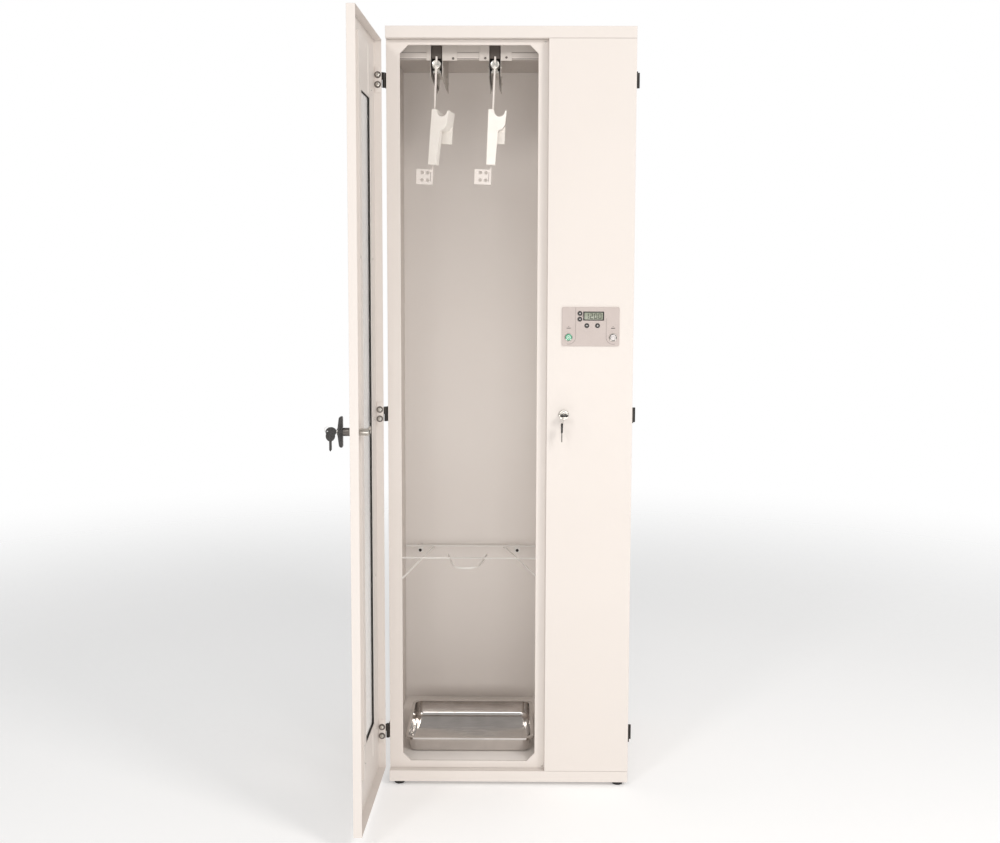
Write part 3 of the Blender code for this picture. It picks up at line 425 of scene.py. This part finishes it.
def tube(points, radius, closed=False):
    """A round bar through the points."""
    curve = bpy.data.curves.new("bar", "CURVE")
    curve.dimensions = "3D"
    curve.bevel_depth = radius
    curve.bevel_resolution = 3
    curve.use_fill_caps = True
    spline = curve.splines.new("POLY")
    spline.points.add(len(points) - 1)
    for point, co in zip(spline.points, points):
        point.co = (*co, 1)
    spline.use_cyclic_u = closed
    guide = bpy.data.objects.new("guide", curve)
    bpy.context.scene.collection.objects.link(guide)
    graph = bpy.context.evaluated_depsgraph_get()
    mesh = bpy.data.meshes.new_from_object(guide.evaluated_get(graph))
    bpy.data.objects.remove(guide)
    mesh.shade_smooth()
    mesh.set_sharp_from_angle(angle=SHARP_FROM_ON_BARS)
    return mesh


def arc(centre, radius, start, end, steps):
    angles = [math.radians(start + (end - start) * step / steps) for step in range(steps + 1)]
    return [(centre[0] + radius * math.cos(a), centre[1] + radius * math.sin(a)) for a in angles]


def rounded(u, v, radius, steps=6):
    """A rectangle with round corners."""
    return (
        arc((u[1] - radius, v[0] + radius), radius, -90, 0, steps)
        + arc((u[1] - radius, v[1] - radius), radius, 0, 90, steps)
        + arc((u[0] + radius, v[1] - radius), radius, 90, 180, steps)
        + arc((u[0] + radius, v[0] + radius), radius, 180, 270, steps)
    )


def prism(outline, axis, low, high):
    """A filled outline given thickness along an axis."""
    bm = bmesh.new()
    ends = [[bm.verts.new(axis_point(axis, u, v, along)) for u, v in outline] for along in (low, high)]
    for end in ends:
        bm.faces.new(end)
    for corner in range(len(outline)):
        after = (corner + 1) % len(outline)
        bm.faces.new([ends[0][corner], ends[0][after], ends[1][after], ends[1][corner]])
    return mesh_from(bm)


def merged(meshes):
    """Several meshes as one."""
    bm = bmesh.new()
    for mesh in meshes:
        bm.from_mesh(mesh)
    return mesh_from(bm)


def piece(name, meshes, material, body, where=HERE):
    """A visible piece that rides on a body. Where leads from the frame it is drawn in to its place."""
    mesh = merged(meshes) if isinstance(meshes, list) else meshes
    obj = bpy.data.objects.new(name, mesh)
    bpy.context.scene.collection.objects.link(obj)
    obj.matrix_world = where
    paint(obj, LOOKS[material])
    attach(obj, body)


def standing(axis, centre, face, way, profile, sides):
    """A lathe whose profile is (radius, height over a face), pointing way (+1 or -1) along the axis."""
    return lathe(axis, centre, [(radius, face + way * height) for radius, height in profile], sides)


def screw(axis, centre, face, way, radius=0.0030, height=0.0016, sides=20):
    """A pan head with a socket, standing on a face."""
    socket = [(0, height * 0.45), (radius * 0.34, height * 0.45), (radius * 0.40, height)]
    crown = [(radius * 0.70, height * 0.93), (radius * 0.93, height * 0.60), (radius, height * 0.12)]
    return standing(axis, centre, face, way, socket + crown + [(radius, -SINK), (0, -SINK)], sides)


def nut(axis, centre, face, way, radius, height):
    """A hexagon nut on a washer, with its screw's end."""
    rim, hole, thread = radius * 1.35, radius * 0.5, radius * 0.52
    washer = [(0, -SINK), (rim, -SINK), (rim, 0.0009), (hole, 0.0010), (0, 0.0010)]
    hexagon = [(0, 0.0008), (radius, 0.0008), (radius * 1.02, 0.0012)]
    hexagon += [(radius * 1.02, height - 0.0006), (radius * 0.86, height), (0, height)]
    end = [(0, height - 0.001), (thread, height - 0.001), (thread, height + 0.0016)]
    end += [(radius * 0.40, height + 0.0022), (0, height + 0.0022)]
    return [
        standing(axis, centre, face, way, washer, 24),
        standing(axis, centre, face, way, hexagon, 6),
        standing(axis, centre, face, way, end, 16),
    ]


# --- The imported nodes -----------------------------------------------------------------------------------

SMOOTH_BELOW = math.radians(40)
WELD_WITHIN = 0.00001
BEVEL = 0.0003
BEVELS = {
    "top_cap": 0.0007, "plinth": 0.0007, "left_door_skin": 0.0005, "right_door_skin": 0.0005,
    "front_frame": 0.0006, "left_door_liner": 0.0005, "hook_left": 0.0009, "hook_right": 0.0009,
    "strap_left": 0.0004, "strap_right": 0.0004, "t_handle": 0.0016, "handle_key": 0.0008,
    "handle_spare_key": 0.0008, "lock_key": 0.0008, "lock_spare_key": 0.0008, "lock_plug": 0.0008,
    "control_panel": 0.0006, "latch_cam": 0.0005, "button_start": 0.0007, "button_stop": 0.0007,
    "drip_tray": 0.0, "wire_shelf": 0.0, "door_window": 0.0004,
}
SLOT_LOOKS = {"coating": "coat", "white_plastic": "hook_plastic", "panel": "panel_foil"}
NODE_LOOKS = {
    # The chamber's back, floor and partition take the lighter copy of the coat, which paints in light.
    "back_panel": "coat_painted_light", "chamber_floor": "coat_painted_light", "partition": "coat_painted_light",
    # The ceiling and hanger brackets take the darker copy of the coat, which paints in the shade at the top
    # of the chamber.
    "chamber_ceiling": "coat_painted_shade", "hanger_bracket_left": "coat_painted_shade", "hanger_bracket_right": "coat_painted_shade",
    "slide_left": "dark_zinc", "slide_right": "dark_zinc", "wire_shelf": "coat_wire",
    "button_start": "green", "button_stop": "button_grey",
}


def shade_by_angle():
    """A node group that shades every bend below the angle smooth."""
    group = bpy.data.node_groups.new("shade_by_angle", "GeometryNodeTree")
    group.interface.new_socket("Geometry", in_out="INPUT", socket_type="NodeSocketGeometry")
    group.interface.new_socket("Geometry", in_out="OUTPUT", socket_type="NodeSocketGeometry")
    start = group.nodes.new("NodeGroupInput")
    end = group.nodes.new("NodeGroupOutput")
    faces = group.nodes.new("GeometryNodeSetShadeSmooth")
    edges = group.nodes.new("GeometryNodeSetShadeSmooth")
    edges.domain = "EDGE"
    angle = group.nodes.new("GeometryNodeInputMeshEdgeAngle")
    small = group.nodes.new("FunctionNodeCompare")
    small.operation = "LESS_THAN"
    small.inputs["B"].default_value = SMOOTH_BELOW
    group.links.new(start.outputs[0], faces.inputs["Geometry"])
    group.links.new(faces.outputs[0], edges.inputs["Geometry"])
    group.links.new(angle.outputs["Unsigned Angle"], small.inputs["A"])
    group.links.new(small.outputs[0], edges.inputs["Shade Smooth"])
    group.links.new(edges.outputs[0], end.inputs[0])
    return group


def soften(obj, shading, width):
    """Joins the mesh's faces, shades its bends smooth and rounds its edges, all by modifiers."""
    weld = obj.modifiers.new("weld", "WELD")
    weld.merge_threshold = WELD_WITHIN
    shade = obj.modifiers.new("shade", "NODES")
    shade.node_group = shading
    if width:
        bevel = obj.modifiers.new("bevel", "BEVEL")
        bevel.width = width
        bevel.segments = 2
        bevel.limit_method = "ANGLE"
        bevel.angle_limit = SMOOTH_BELOW
        bevel.use_clamp_overlap = True
        bevel.harden_normals = True


def paint_nodes():
    """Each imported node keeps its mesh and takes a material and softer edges."""
    shading = shade_by_angle()
    for name, obj in NODES.items():
        slot = SLOTS[name]
        paint(obj, LOOKS[NODE_LOOKS.get(name, SLOT_LOOKS.get(slot, slot))])
        soften(obj, shading, BEVELS.get(name, BEVEL))


# --- Chamber door ---------------------------------------------------------------------------------------

WINDOW_X = (-0.1780, -0.0500)
WINDOW_Z = (0.190, 1.678)
WINDOW_CORNER = 0.006
GLASS_INNER_FACE = 0.0055
SEAL_OUTSIDE_Y = 0.0003
LINER_FACE = 0.0095
LINER_EDGES = (-0.200, -0.0215)
LINER_ROWS = (0.55, 0.93, 1.31)
LINER_END_SCREWS = [(-0.0215, 0.196), (-0.032, 0.150), (-0.200, 0.170), (-0.0215, 1.690), (-0.200, 1.700)]
BEAD_X = -0.148
BEAD_Z = ((0.121, 0.181), (1.684, 1.793))
BOLT_STEPS = (-0.0115, 0.0115)
DOOR_BOLT_Y = 0.0105
FRAME_BOLT_Y = 0.0420
EDGE_INSIDE = SIDE - 0.0012
BACKING_HALF = 0.030
HANDLE = (0.042, 0.9305)


def window_and_liner():
    outline = rounded(WINDOW_X, WINDOW_Z, WINDOW_CORNER)
    inside = tube([(x, GLASS_INNER_FACE + 0.0007, z) for x, z in outline], 0.0008, closed=True)
    outside = tube([(x, SEAL_OUTSIDE_Y, z) for x, z in outline], 0.0010, closed=True)
    piece("window_gasket", [inside, outside], "rubber", "left_door", ON_LEFT_DOOR)
    beads = [tube([(BEAD_X, LINER_FACE, z) for z in ends], 0.0014) for ends in BEAD_Z]
    piece("liner_beads", beads, "coat", "left_door", ON_LEFT_DOOR)
    spots = LINER_END_SCREWS + [(x, z) for x in LINER_EDGES for z in LINER_ROWS]
    heads = [screw("Y", spot, LINER_FACE, 1, 0.0028) for spot in spots]
    piece("liner_screws", heads, "zinc", "left_door", ON_LEFT_DOOR)


def left_hinge_nuts():
    """Inside the chamber door's narrow side: a backing strip, and two nuts on wide washers at each hinge."""
    inside = -EDGE_INSIDE
    low, rim, high = inside + 0.0014, inside + 0.0022, inside + 0.0024
    profile = [(0, low), (0.0080, low), (0.0082, rim), (0, high)]
    for level, z in HINGE_Z.items():
        nuts, washers = [], []
        for step in BOLT_STEPS:
            spot = (DOOR_BOLT_Y, z + step)
            nuts += nut("X", spot, inside + 0.0005, 1, 0.0050, 0.0056)
            washers.append(lathe("X", spot, profile, 28))
        piece(f"hinge_nuts_left_{level}", nuts, "zinc", "left_door", ON_LEFT_DOOR)
        piece(f"hinge_washers_left_{level}", washers, "dark_zinc", "left_door", ON_LEFT_DOOR)
        low, high = (inside, 0.0030, z - BACKING_HALF), (inside + 0.0015, 0.0175, z + BACKING_HALF)
        piece(f"hinge_backing_left_{level}", slab(low, high, 0.0006), "coat", "left_door", ON_LEFT_DOOR)


def handle_fittings():
    """The T handle's collar, stem sleeve and lock face, the cam's nut, and the ring between the keys."""
    collar = ring("Y", HANDLE, 0.0098, 0.0012, -0.0007)
    piece("handle_collar", collar, "zinc", "latch", ON_LEFT_DOOR)
    sleeve = [(0.0087, -0.0008), (0.0092, -0.0010), (0.0092, -0.0200), (0.0087, -0.0212)]
    piece("handle_sleeve", lathe("Y", HANDLE, sleeve, 40), "dark_zinc", "latch", ON_LEFT_DOOR)
    face = [(0.0058, -0.0349), (0.0066, -0.0354), (0.0075, -0.0350), (0.0076, -0.0338), (0.0058, -0.0338)]
    piece("handle_lock_face", lathe("Y", HANDLE, face, closed=True), "zinc", "latch", ON_LEFT_DOOR)
    piece("cam_nut", nut("Y", HANDLE, 0.0338, 1, 0.0056, 0.0030), "zinc", "latch", ON_LEFT_DOOR)
    link = ring("X", (-0.0575, 0.9345), 0.0062, 0.00035, 0.0394)
    piece("handle_key_ring", link, "zinc", "handle_key", ON_LEFT_DOOR)


# --- Service door ---------------------------------------------------------------------------------------

PANEL_FRONT = -0.0030
DISPLAY_X = (0.1775, 0.2279)
DISPLAY_Z = (1.1635, 1.1849)
SCREEN_INSET = (0.0028, 0.0023)
SCREEN_FACE = -0.0039
FIRST_DIGIT = (0.1832, 1.1678)
DIGIT_STEP = 0.0103
DIGIT_SIZE = (0.0076, 0.0128)
DIGIT_BAR = 0.0018
DIGIT_GAP = 0.0002
SEGMENTS = {"0": "abcdef", "1": "bc", "2": "abdeg"}
SHOWN = "1200"
PRINT_HEIGHT = 0.00025
PRINT_SINK = 0.00005
KEY_FACE = -0.0048
SWITCH_FACE = -0.0061
# Each switch's printed line: its upright's X and top, and the angles where its arc round the switch runs.
SWITCH_PRINTS = {"start": (0.1592, 1.1946, 0, -105), "stop": (0.2336, 1.1690, 180, 285)}


def digit(glyph, x, z):
    """The bars of a seven-segment numeral, from its lower left corner."""
    wide, tall = DIGIT_SIZE
    half, thick = tall / 2, DIGIT_BAR
    bars = {
        "a": ((x, x + wide), (z + tall - thick, z + tall)),
        "d": ((x, x + wide), (z, z + thick)),
        "g": ((x, x + wide), (z + half - thick / 2, z + half + thick / 2)),
        "b": ((x + wide - thick, x + wide), (z + half, z + tall)),
        "c": ((x + wide - thick, x + wide), (z, z + half)),
        "e": ((x, x + thick), (z, z + half)),
        "f": ((x, x + thick), (z + half, z + tall)),
    }
    meshes = []
    for letter in SEGMENTS[glyph]:
        (x0, x1), (z0, z1) = bars[letter]
        low = (x0 + DIGIT_GAP, SCREEN_FACE - 0.0003, z0 + DIGIT_GAP)
        high = (x1 - DIGIT_GAP, SCREEN_FACE + 0.0001, z1 - DIGIT_GAP)
        meshes.append(slab(low, high, 0.0001, 1))
    return meshes


def printed_line(points, width, face):
    """A thin printed line through points (x, z), lying on a face that looks along -Y."""
    meshes = []
    for (x0, z0), (x1, z1) in zip(points, points[1:]):
        length = math.hypot(x1 - x0, z1 - z0)
        ux, uz = (x1 - x0) / length, (z1 - z0) / length
        nx, nz = -uz * width / 2, ux * width / 2
        x0, z0 = x0 - ux * width / 3, z0 - uz * width / 3
        x1, z1 = x1 + ux * width / 3, z1 + uz * width / 3
        outline = [(x0 + nx, z0 + nz), (x1 + nx, z1 + nz), (x1 - nx, z1 - nz), (x0 - nx, z0 - nz)]
        meshes.append(prism(outline, "Y", face - PRINT_HEIGHT, face + PRINT_SINK))
    return meshes


def display():
    bezel = slab((DISPLAY_X[0], -0.0036, DISPLAY_Z[0]), (DISPLAY_X[1], -0.0012, DISPLAY_Z[1]), 0.0006)
    piece("display_bezel", bezel, "bezel", "right_door")
    low = (DISPLAY_X[0] + SCREEN_INSET[0], SCREEN_FACE, DISPLAY_Z[0] + SCREEN_INSET[1])
    high = (DISPLAY_X[1] - SCREEN_INSET[0], PANEL_FRONT, DISPLAY_Z[1] - SCREEN_INSET[1])
    piece("display_screen", slab(low, high, 0.0002), "screen", "right_door")
    digits = []
    for number, glyph in enumerate(SHOWN):
        digits += digit(glyph, FIRST_DIGIT[0] + DIGIT_STEP * number, FIRST_DIGIT[1])
    piece("display_digits", digits, "digit", "right_door")


def key_mark(name, x, z):
    """The white print on a small key: a chevron up or down, a minus or a plus."""
    arm = 0.0016
    if name in ("up", "down"):
        way = 1 if name == "up" else -1
        foot = z - way * 0.0009
        return printed_line([(x - arm, foot), (x, z + way * 0.0014), (x + arm, foot)], 0.0011, KEY_FACE)
    mark = printed_line([(x - arm, z), (x + arm, z)], 0.0012, KEY_FACE)
    if name == "plus":
        mark += printed_line([(x, z - arm), (x, z + arm)], 0.0012, KEY_FACE)
    return mark


def small_keys():
    rim = [(0.0049, -0.0031), (0.0050, -0.0037), (0.0058, -0.0037), (0.0060, -0.0030), (0.0049, -0.0028)]
    for name in ("up", "down", "minus", "plus"):
        spot = middle(f"button_{name}")
        piece(f"key_rim_{name}", lathe("Y", spot, rim, 28, closed=True), "bezel", "right_door")
        piece(f"key_mark_{name}", key_mark(name, *spot), "white_ink", f"button_{name}")


def switches():
    """Round the start and the stop button: a rim, a printed line, a label bar with a dot, and the mark."""
    rim = [(0.0075, -0.0031), (0.0078, -0.0049), (0.0086, -0.0053), (0.0094, -0.0048), (0.0098, -0.0030)]
    rim += [(0.0075, -0.0026)]
    for name, (edge, top, start, end) in SWITCH_PRINTS.items():
        x, z = middle(f"button_{name}")
        piece(f"switch_rim_{name}", lathe("Y", (x, z), rim, 40, closed=True), "zinc", "right_door")
        outline = [(edge, top)] + arc((x, z), abs(edge - x), start, end, 14)
        piece(f"switch_print_{name}", printed_line(outline, 0.0006, PANEL_FRONT), "grey_print_and_shadow", "right_door")
        label = printed_line([(x - 0.0045, z + 0.0222), (x + 0.0045, z + 0.0222)], 0.0016, PANEL_FRONT)
        label += printed_line([(x - 0.0008, z + 0.0262), (x + 0.0008, z + 0.0262)], 0.0010, PANEL_FRONT)
        piece(f"switch_label_{name}", label, "ink", "right_door")
        mark = [ring("Y", (x, z), 0.0042, 0.0006, SWITCH_FACE)]
        mark += printed_line([(x - 0.0022, z - 0.0012), (x + 0.0022, z + 0.0012)], 0.0016, SWITCH_FACE)
        piece(f"switch_mark_{name}", mark, "white_ink", f"button_{name}")


def lock_fittings():
    rim = [(0.0106, -0.0003), (0.0122, -0.0004), (0.0124, -0.0022), (0.0112, -0.0032), (0.0106, -0.0030)]
    piece("lock_washer", lathe("Y", LOCK, rim, 40, closed=True), "zinc", "right_door")
    face = [(0.0062, -0.0061), (0.0066, -0.0068), (0.0086, -0.0070), (0.0098, -0.0064), (0.0100, -0.0058)]
    face += [(0.0062, -0.0056)]
    piece("lock_face", lathe("Y", LOCK, face, 40, closed=True), "zinc", "lock")
    piece("lock_key_ring", ring("X", (-0.0290, 0.9215), 0.0110, 0.0006, 0.1292), "zinc", "lock")
    hexagon = [(0.0095, 0.0016), (0.0136, 0.0016), (0.0138, 0.0022), (0.0138, 0.0052), (0.0128, 0.0060)]
    hexagon += [(0.0095, 0.0060)]
    piece("lock_nut", lathe("Y", LOCK, hexagon, 6, closed=True), "zinc", "right_door")


def right_hinge_nuts():
    for level, z in HINGE_Z.items():
        nuts = []
        for step in BOLT_STEPS:
            nuts += nut("X", (DOOR_BOLT_Y, z + step), EDGE_INSIDE, -1, 0.0048, 0.0052)
        piece(f"hinge_nuts_right_{level}", nuts, "zinc", "right_door")


# --- Hangers --------------------------------------------------------------------------------------------

RAIL_HALF = 0.0122
RAIL_Y = (0.0640, 0.3300)
RAIL_Z = (1.7965, 1.8275)
BRACKET_HALF = 0.01495
BRACKET_SCREWS_Y = (0.070, 0.220, 0.330)
BRACKET_SCREWS_Z = 1.7765
BALL_ASIDE = 0.0094
BALL_ABOVE = 0.0098
FOOT_PLATE_LOW = 1.4916
FOOT_PLATE_FACE = 0.0445
FOOT_HOLES_FROM = (-0.0245, 0.0105)
FOOT_HOLE_STEP = (0.0135, 0.0180)


def hanger_pieces(side, x):
    rail = slab((x - RAIL_HALF, RAIL_Y[0], RAIL_Z[0]), (x + RAIL_HALF, RAIL_Y[1], RAIL_Z[1]), 0.0008)
    # A dark block in the bracket's opening: a real outer rail, darkened as painted shade for the deep
    # opening.
    piece(f"outer_rail_painted_shade_{side}", rail, "painted_shade_rail", "cabinet")
    heads = []
    for sign in (-1, 1):
        for y in BRACKET_SCREWS_Y:
            heads.append(screw("X", (y, BRACKET_SCREWS_Z), x + sign * BRACKET_HALF, sign, 0.0030, 0.0018))
    piece(f"bracket_screws_{side}", heads, "zinc", "cabinet")
    drum = [(0, 0.0668), (0.0022, 0.0668), (0.0031, 0.0676), (0.0031, 0.0705), (0.0024, 0.0712), (0, 0.0712)]
    balls = []
    for aside in (-BALL_ASIDE, BALL_ASIDE):
        for above in (-BALL_ABOVE, BALL_ABOVE):
            balls.append(lathe("Y", (x + aside, PIVOT_Z + above), drum, 20))
    piece(f"bearing_balls_{side}", balls, "rubber", f"carriage_{side}")
    disc = [(0.0042, 0.0655), (0.0060, 0.0649), (0.0105, 0.0649), (0.0110, 0.0656), (0.0042, 0.0661)]
    washer = lathe("Y", (x, PIVOT_Z), disc, 36, closed=True)
    piece(f"pivot_washer_{side}", washer, "zinc", f"carriage_{side}")
    cap = [(0, 0.0484), (0.0088, 0.0484), (0.0100, 0.0488), (0.0103, 0.0494), (0.0103, 0.0552), (0, 0.0556)]
    cover = lathe("Y", (x, PIVOT_Z), cap, 36)
    piece(f"pivot_disc_{side}", cover, "zinc", f"hanger_{side}", on_hanger(side))
    rims = []
    for column in (0, 1):
        for row in (0, 1):
            hole_x = x + FOOT_HOLES_FROM[0] + FOOT_HOLE_STEP[0] * column
            hole_z = FOOT_PLATE_LOW + FOOT_HOLES_FROM[1] + FOOT_HOLE_STEP[1] * row
            rims.append(ring("Y", (hole_x, hole_z), 0.0046, 0.0006, FOOT_PLATE_FACE, 24))
    piece(f"foot_plate_rims_{side}", rims, "coat", f"hanger_{side}", on_hanger(side))
    slit = slab((x - 0.0044, 0.0442, 1.4990), (x - 0.0034, 0.0449, 1.5220), 0.0002, 1)
    piece(f"foot_plate_slit_{side}", slit, "grey_print_and_shadow", f"hanger_{side}", on_hanger(side))


# --- Chamber --------------------------------------------------------------------------------------------

EAR_FACE = 0.0596
EAR_SCREWS = ((-0.1407, 1.7960), (-0.0625, 1.7968), (-0.0110, 1.7985))
CROSSBEAM_SPANS = ((-0.290, -0.1975), (-0.1645, -0.0555), (-0.0225, 0.086))
# Heights of the painted shadow lines under the crossbeam's folds.
CROSSBEAM_SHADOW_LINES_Z = (1.8100, 1.7955)
REAR_WALL_FACE = 0.4880
SHELF_BOLTS = ((-0.2563, 0.4810), (0.0236, 0.4814))
SHELF_KNOT_X = (-0.2165, -0.0130)
SHELF_KNOT_Z = 0.4946
TRAY_X = (-0.2653, 0.0645)
TRAY_Y = (0.068, 0.343)
TRAY_TOP = 0.0863
TRAY_RIM_INSET = 0.0012
TRAY_RIM_CORNER = 0.024
CATCHES = ((0.0824, 1.8280), (0.0850, 0.0345))
CATCH_HALF = (0.0022, 0.0025)
CATCH_Y = (0.0197, 0.0203)


def crossbeam_trim():
    heads = [screw("Y", spot, EAR_FACE, -1, 0.0029) for spot in EAR_SCREWS]
    piece("ear_screws", heads, "dark_zinc", "cabinet")
    # Raised folds along the crossbeam, with grey lines under them that are painted shadow.
    folds, dark_lines = [], []
    for start, end in CROSSBEAM_SPANS:
        folds.append(slab((start, 0.0606, 1.7972), (end, 0.0620, 1.7990), 0.0005))
        for z in CROSSBEAM_SHADOW_LINES_Z:
            dark_lines.append(slab((start, 0.0610, z), (end, 0.0620, z + 0.0010), 0.0003))
    piece("crossbeam_folds", folds, "coat", "cabinet")
    piece("crossbeam_shadow_lines", dark_lines, "grey_print_and_shadow", "cabinet")


def chamber_fittings():
    """The wire shelf's bolts, the tray's rolled rim, the frame's catches, and the shelf's weld knots."""
    bolts = [screw("Y", spot, REAR_WALL_FACE, -1, 0.0046, 0.0042, 24) for spot in SHELF_BOLTS]
    piece("shelf_bolts", bolts, "black_steel", "cabinet")
    inset = TRAY_RIM_INSET
    rim_x, rim_y = (TRAY_X[0] + inset, TRAY_X[1] - inset), (TRAY_Y[0] + inset, TRAY_Y[1] - inset)
    rim = [(x, y, TRAY_TOP - 0.0016) for x, y in rounded(rim_x, rim_y, TRAY_RIM_CORNER, 8)]
    piece("tray_rim", tube(rim, 0.0021, closed=True), "stainless", "tray")
    catches = []
    for x, z in CATCHES:
        low = (x - CATCH_HALF[0], CATCH_Y[0], z - CATCH_HALF[1])
        high = (x + CATCH_HALF[0], CATCH_Y[1], z + CATCH_HALF[1])
        catches.append(slab(low, high, 0.0001))
    piece("door_catches", catches, "zinc", "cabinet")
    knot = [(0, 0.4765), (0.0034, 0.4750), (0.0040, 0.4715), (0.0030, 0.4690), (0, 0.4680)]
    knots = [lathe("Y", (x, SHELF_KNOT_Z), knot, 20) for x in SHELF_KNOT_X]
    piece("shelf_weld_knots", knots, "coat", "cabinet")


# --- Outside --------------------------------------------------------------------------------------------

BACK_SCREWS_X = (-0.285, 0.0, 0.285)
BACK_SCREWS_Z = (0.060, 0.480, 0.920, 1.360, 1.800)
INLET_SCREW_ASIDE = 0.030
RIVETS_Y = (0.060, 0.455)
RIVETS_Z = (0.060, 0.640, 1.220, 1.800)
LEAF_FACE = SIDE + 0.0028
SEAMS_Z = (0.0281, 1.8338)
SEAM_Y = (0.0300, 0.4880)


def back_and_side_fasteners():
    spots = [(x, z) for x in BACK_SCREWS_X for z in BACK_SCREWS_Z]
    heads = [screw("Y", spot, BACK, 1, 0.0034, 0.0018) for spot in spots]
    piece("back_screws", heads, "zinc", "cabinet")
    spots = [(INLET[0] + aside, INLET[1]) for aside in (-INLET_SCREW_ASIDE, INLET_SCREW_ASIDE)]
    heads = [screw("Y", spot, BACK, 1, 0.0026, 0.0014) for spot in spots]
    piece("inlet_screws", heads, "dark_zinc", "cabinet")
    rivets = []
    for sign in (-1, 1):
        spots = [(y, z) for y in RIVETS_Y for z in RIVETS_Z]
        rivets += [screw("X", spot, sign * SIDE, sign, 0.0026, 0.0010) for spot in spots]
    piece("side_rivets", rivets, "zinc", "cabinet")


def hinge_bolts(y, sign):
    """The heads on one side's leaves, at a distance y behind the doors' face. Sign is -1 on the left."""
    spots = [(y, z + step) for z in HINGE_Z.values() for step in BOLT_STEPS]
    return [screw("X", spot, sign * LEAF_FACE, sign, 0.0034) for spot in spots]


def outside_pieces():
    back_and_side_fasteners()
    for side, sign in (("left", -1), ("right", 1)):
        bolts = hinge_bolts(FRAME_BOLT_Y, sign)
        piece(f"hinge_bolts_frame_{side}", bolts, "black_steel", "cabinet")
    for side, sign, where in (("left", -1, ON_LEFT_DOOR), ("right", 1, HERE)):
        bolts = hinge_bolts(DOOR_BOLT_Y, sign)
        piece(f"hinge_bolts_door_{side}", bolts, "black_steel", f"{side}_door", where)
    dark_lines = []
    for x in (-SIDE, SIDE):
        for z in SEAMS_Z:
            dark_lines.append(slab((x - 0.0004, SEAM_Y[0], z), (x + 0.0004, SEAM_Y[1], z + 0.0006), 0.0002, 1))
    piece("side_seams", dark_lines, "grey_print_and_shadow", "cabinet")


# --- Stage ----------------------------------------------------------------------------------------------

FLOOR_HALF = 30.0
FLOOR_FADE = (1.6, 4.5)
FLOOR_GLOW = 0.14


def stage():
    """A plain pale floor that fades into the white surround."""
    bm = bmesh.new()
    bmesh.ops.create_grid(bm, x_segments=1, y_segments=1, size=FLOOR_HALF)
    mesh = bpy.data.meshes.new("floor")
    bm.to_mesh(mesh)
    bm.free()
    floor = bpy.data.objects.new("floor", mesh)
    bpy.context.scene.collection.objects.link(floor)
    shader = Shader("floor", roughness=0.9)
    drift = shader.spread(shader.noise(1.5, 2.0), 0.3, 0.7, 0.0, 1.0)
    shader.colour(shader.mix(drift, (0.97, 0.97, 0.97), (0.965, 0.965, 0.965)))
    shader.surface.inputs["Specular IOR Level"].default_value = 0.1
    shader.surface.inputs["Emission Color"].default_value = (1.0, 1.0, 1.0, 1.0)
    shader.surface.inputs["Emission Strength"].default_value = FLOOR_GLOW
    away = shader.nodes.new("ShaderNodeVectorMath")
    away.operation = "LENGTH"
    shader.links.new(shader.coordinates, away.inputs[0])
    fade = shader.spread(away.outputs["Value"], *FLOOR_FADE, 1.0, 0.0, smooth=True)
    shader.links.new(fade, shader.surface.inputs["Alpha"])
    paint(floor, shader.material)


camera()
lights()
paint_nodes()
window_and_liner()
left_hinge_nuts()
handle_fittings()
display()
small_keys()
switches()
lock_fittings()
right_hinge_nuts()
for hanger_side, hanger_x in HANGER_X.items():
    hanger_pieces(hanger_side, hanger_x)
crossbeam_trim()
chamber_fittings()
outside_pieces()
stage()
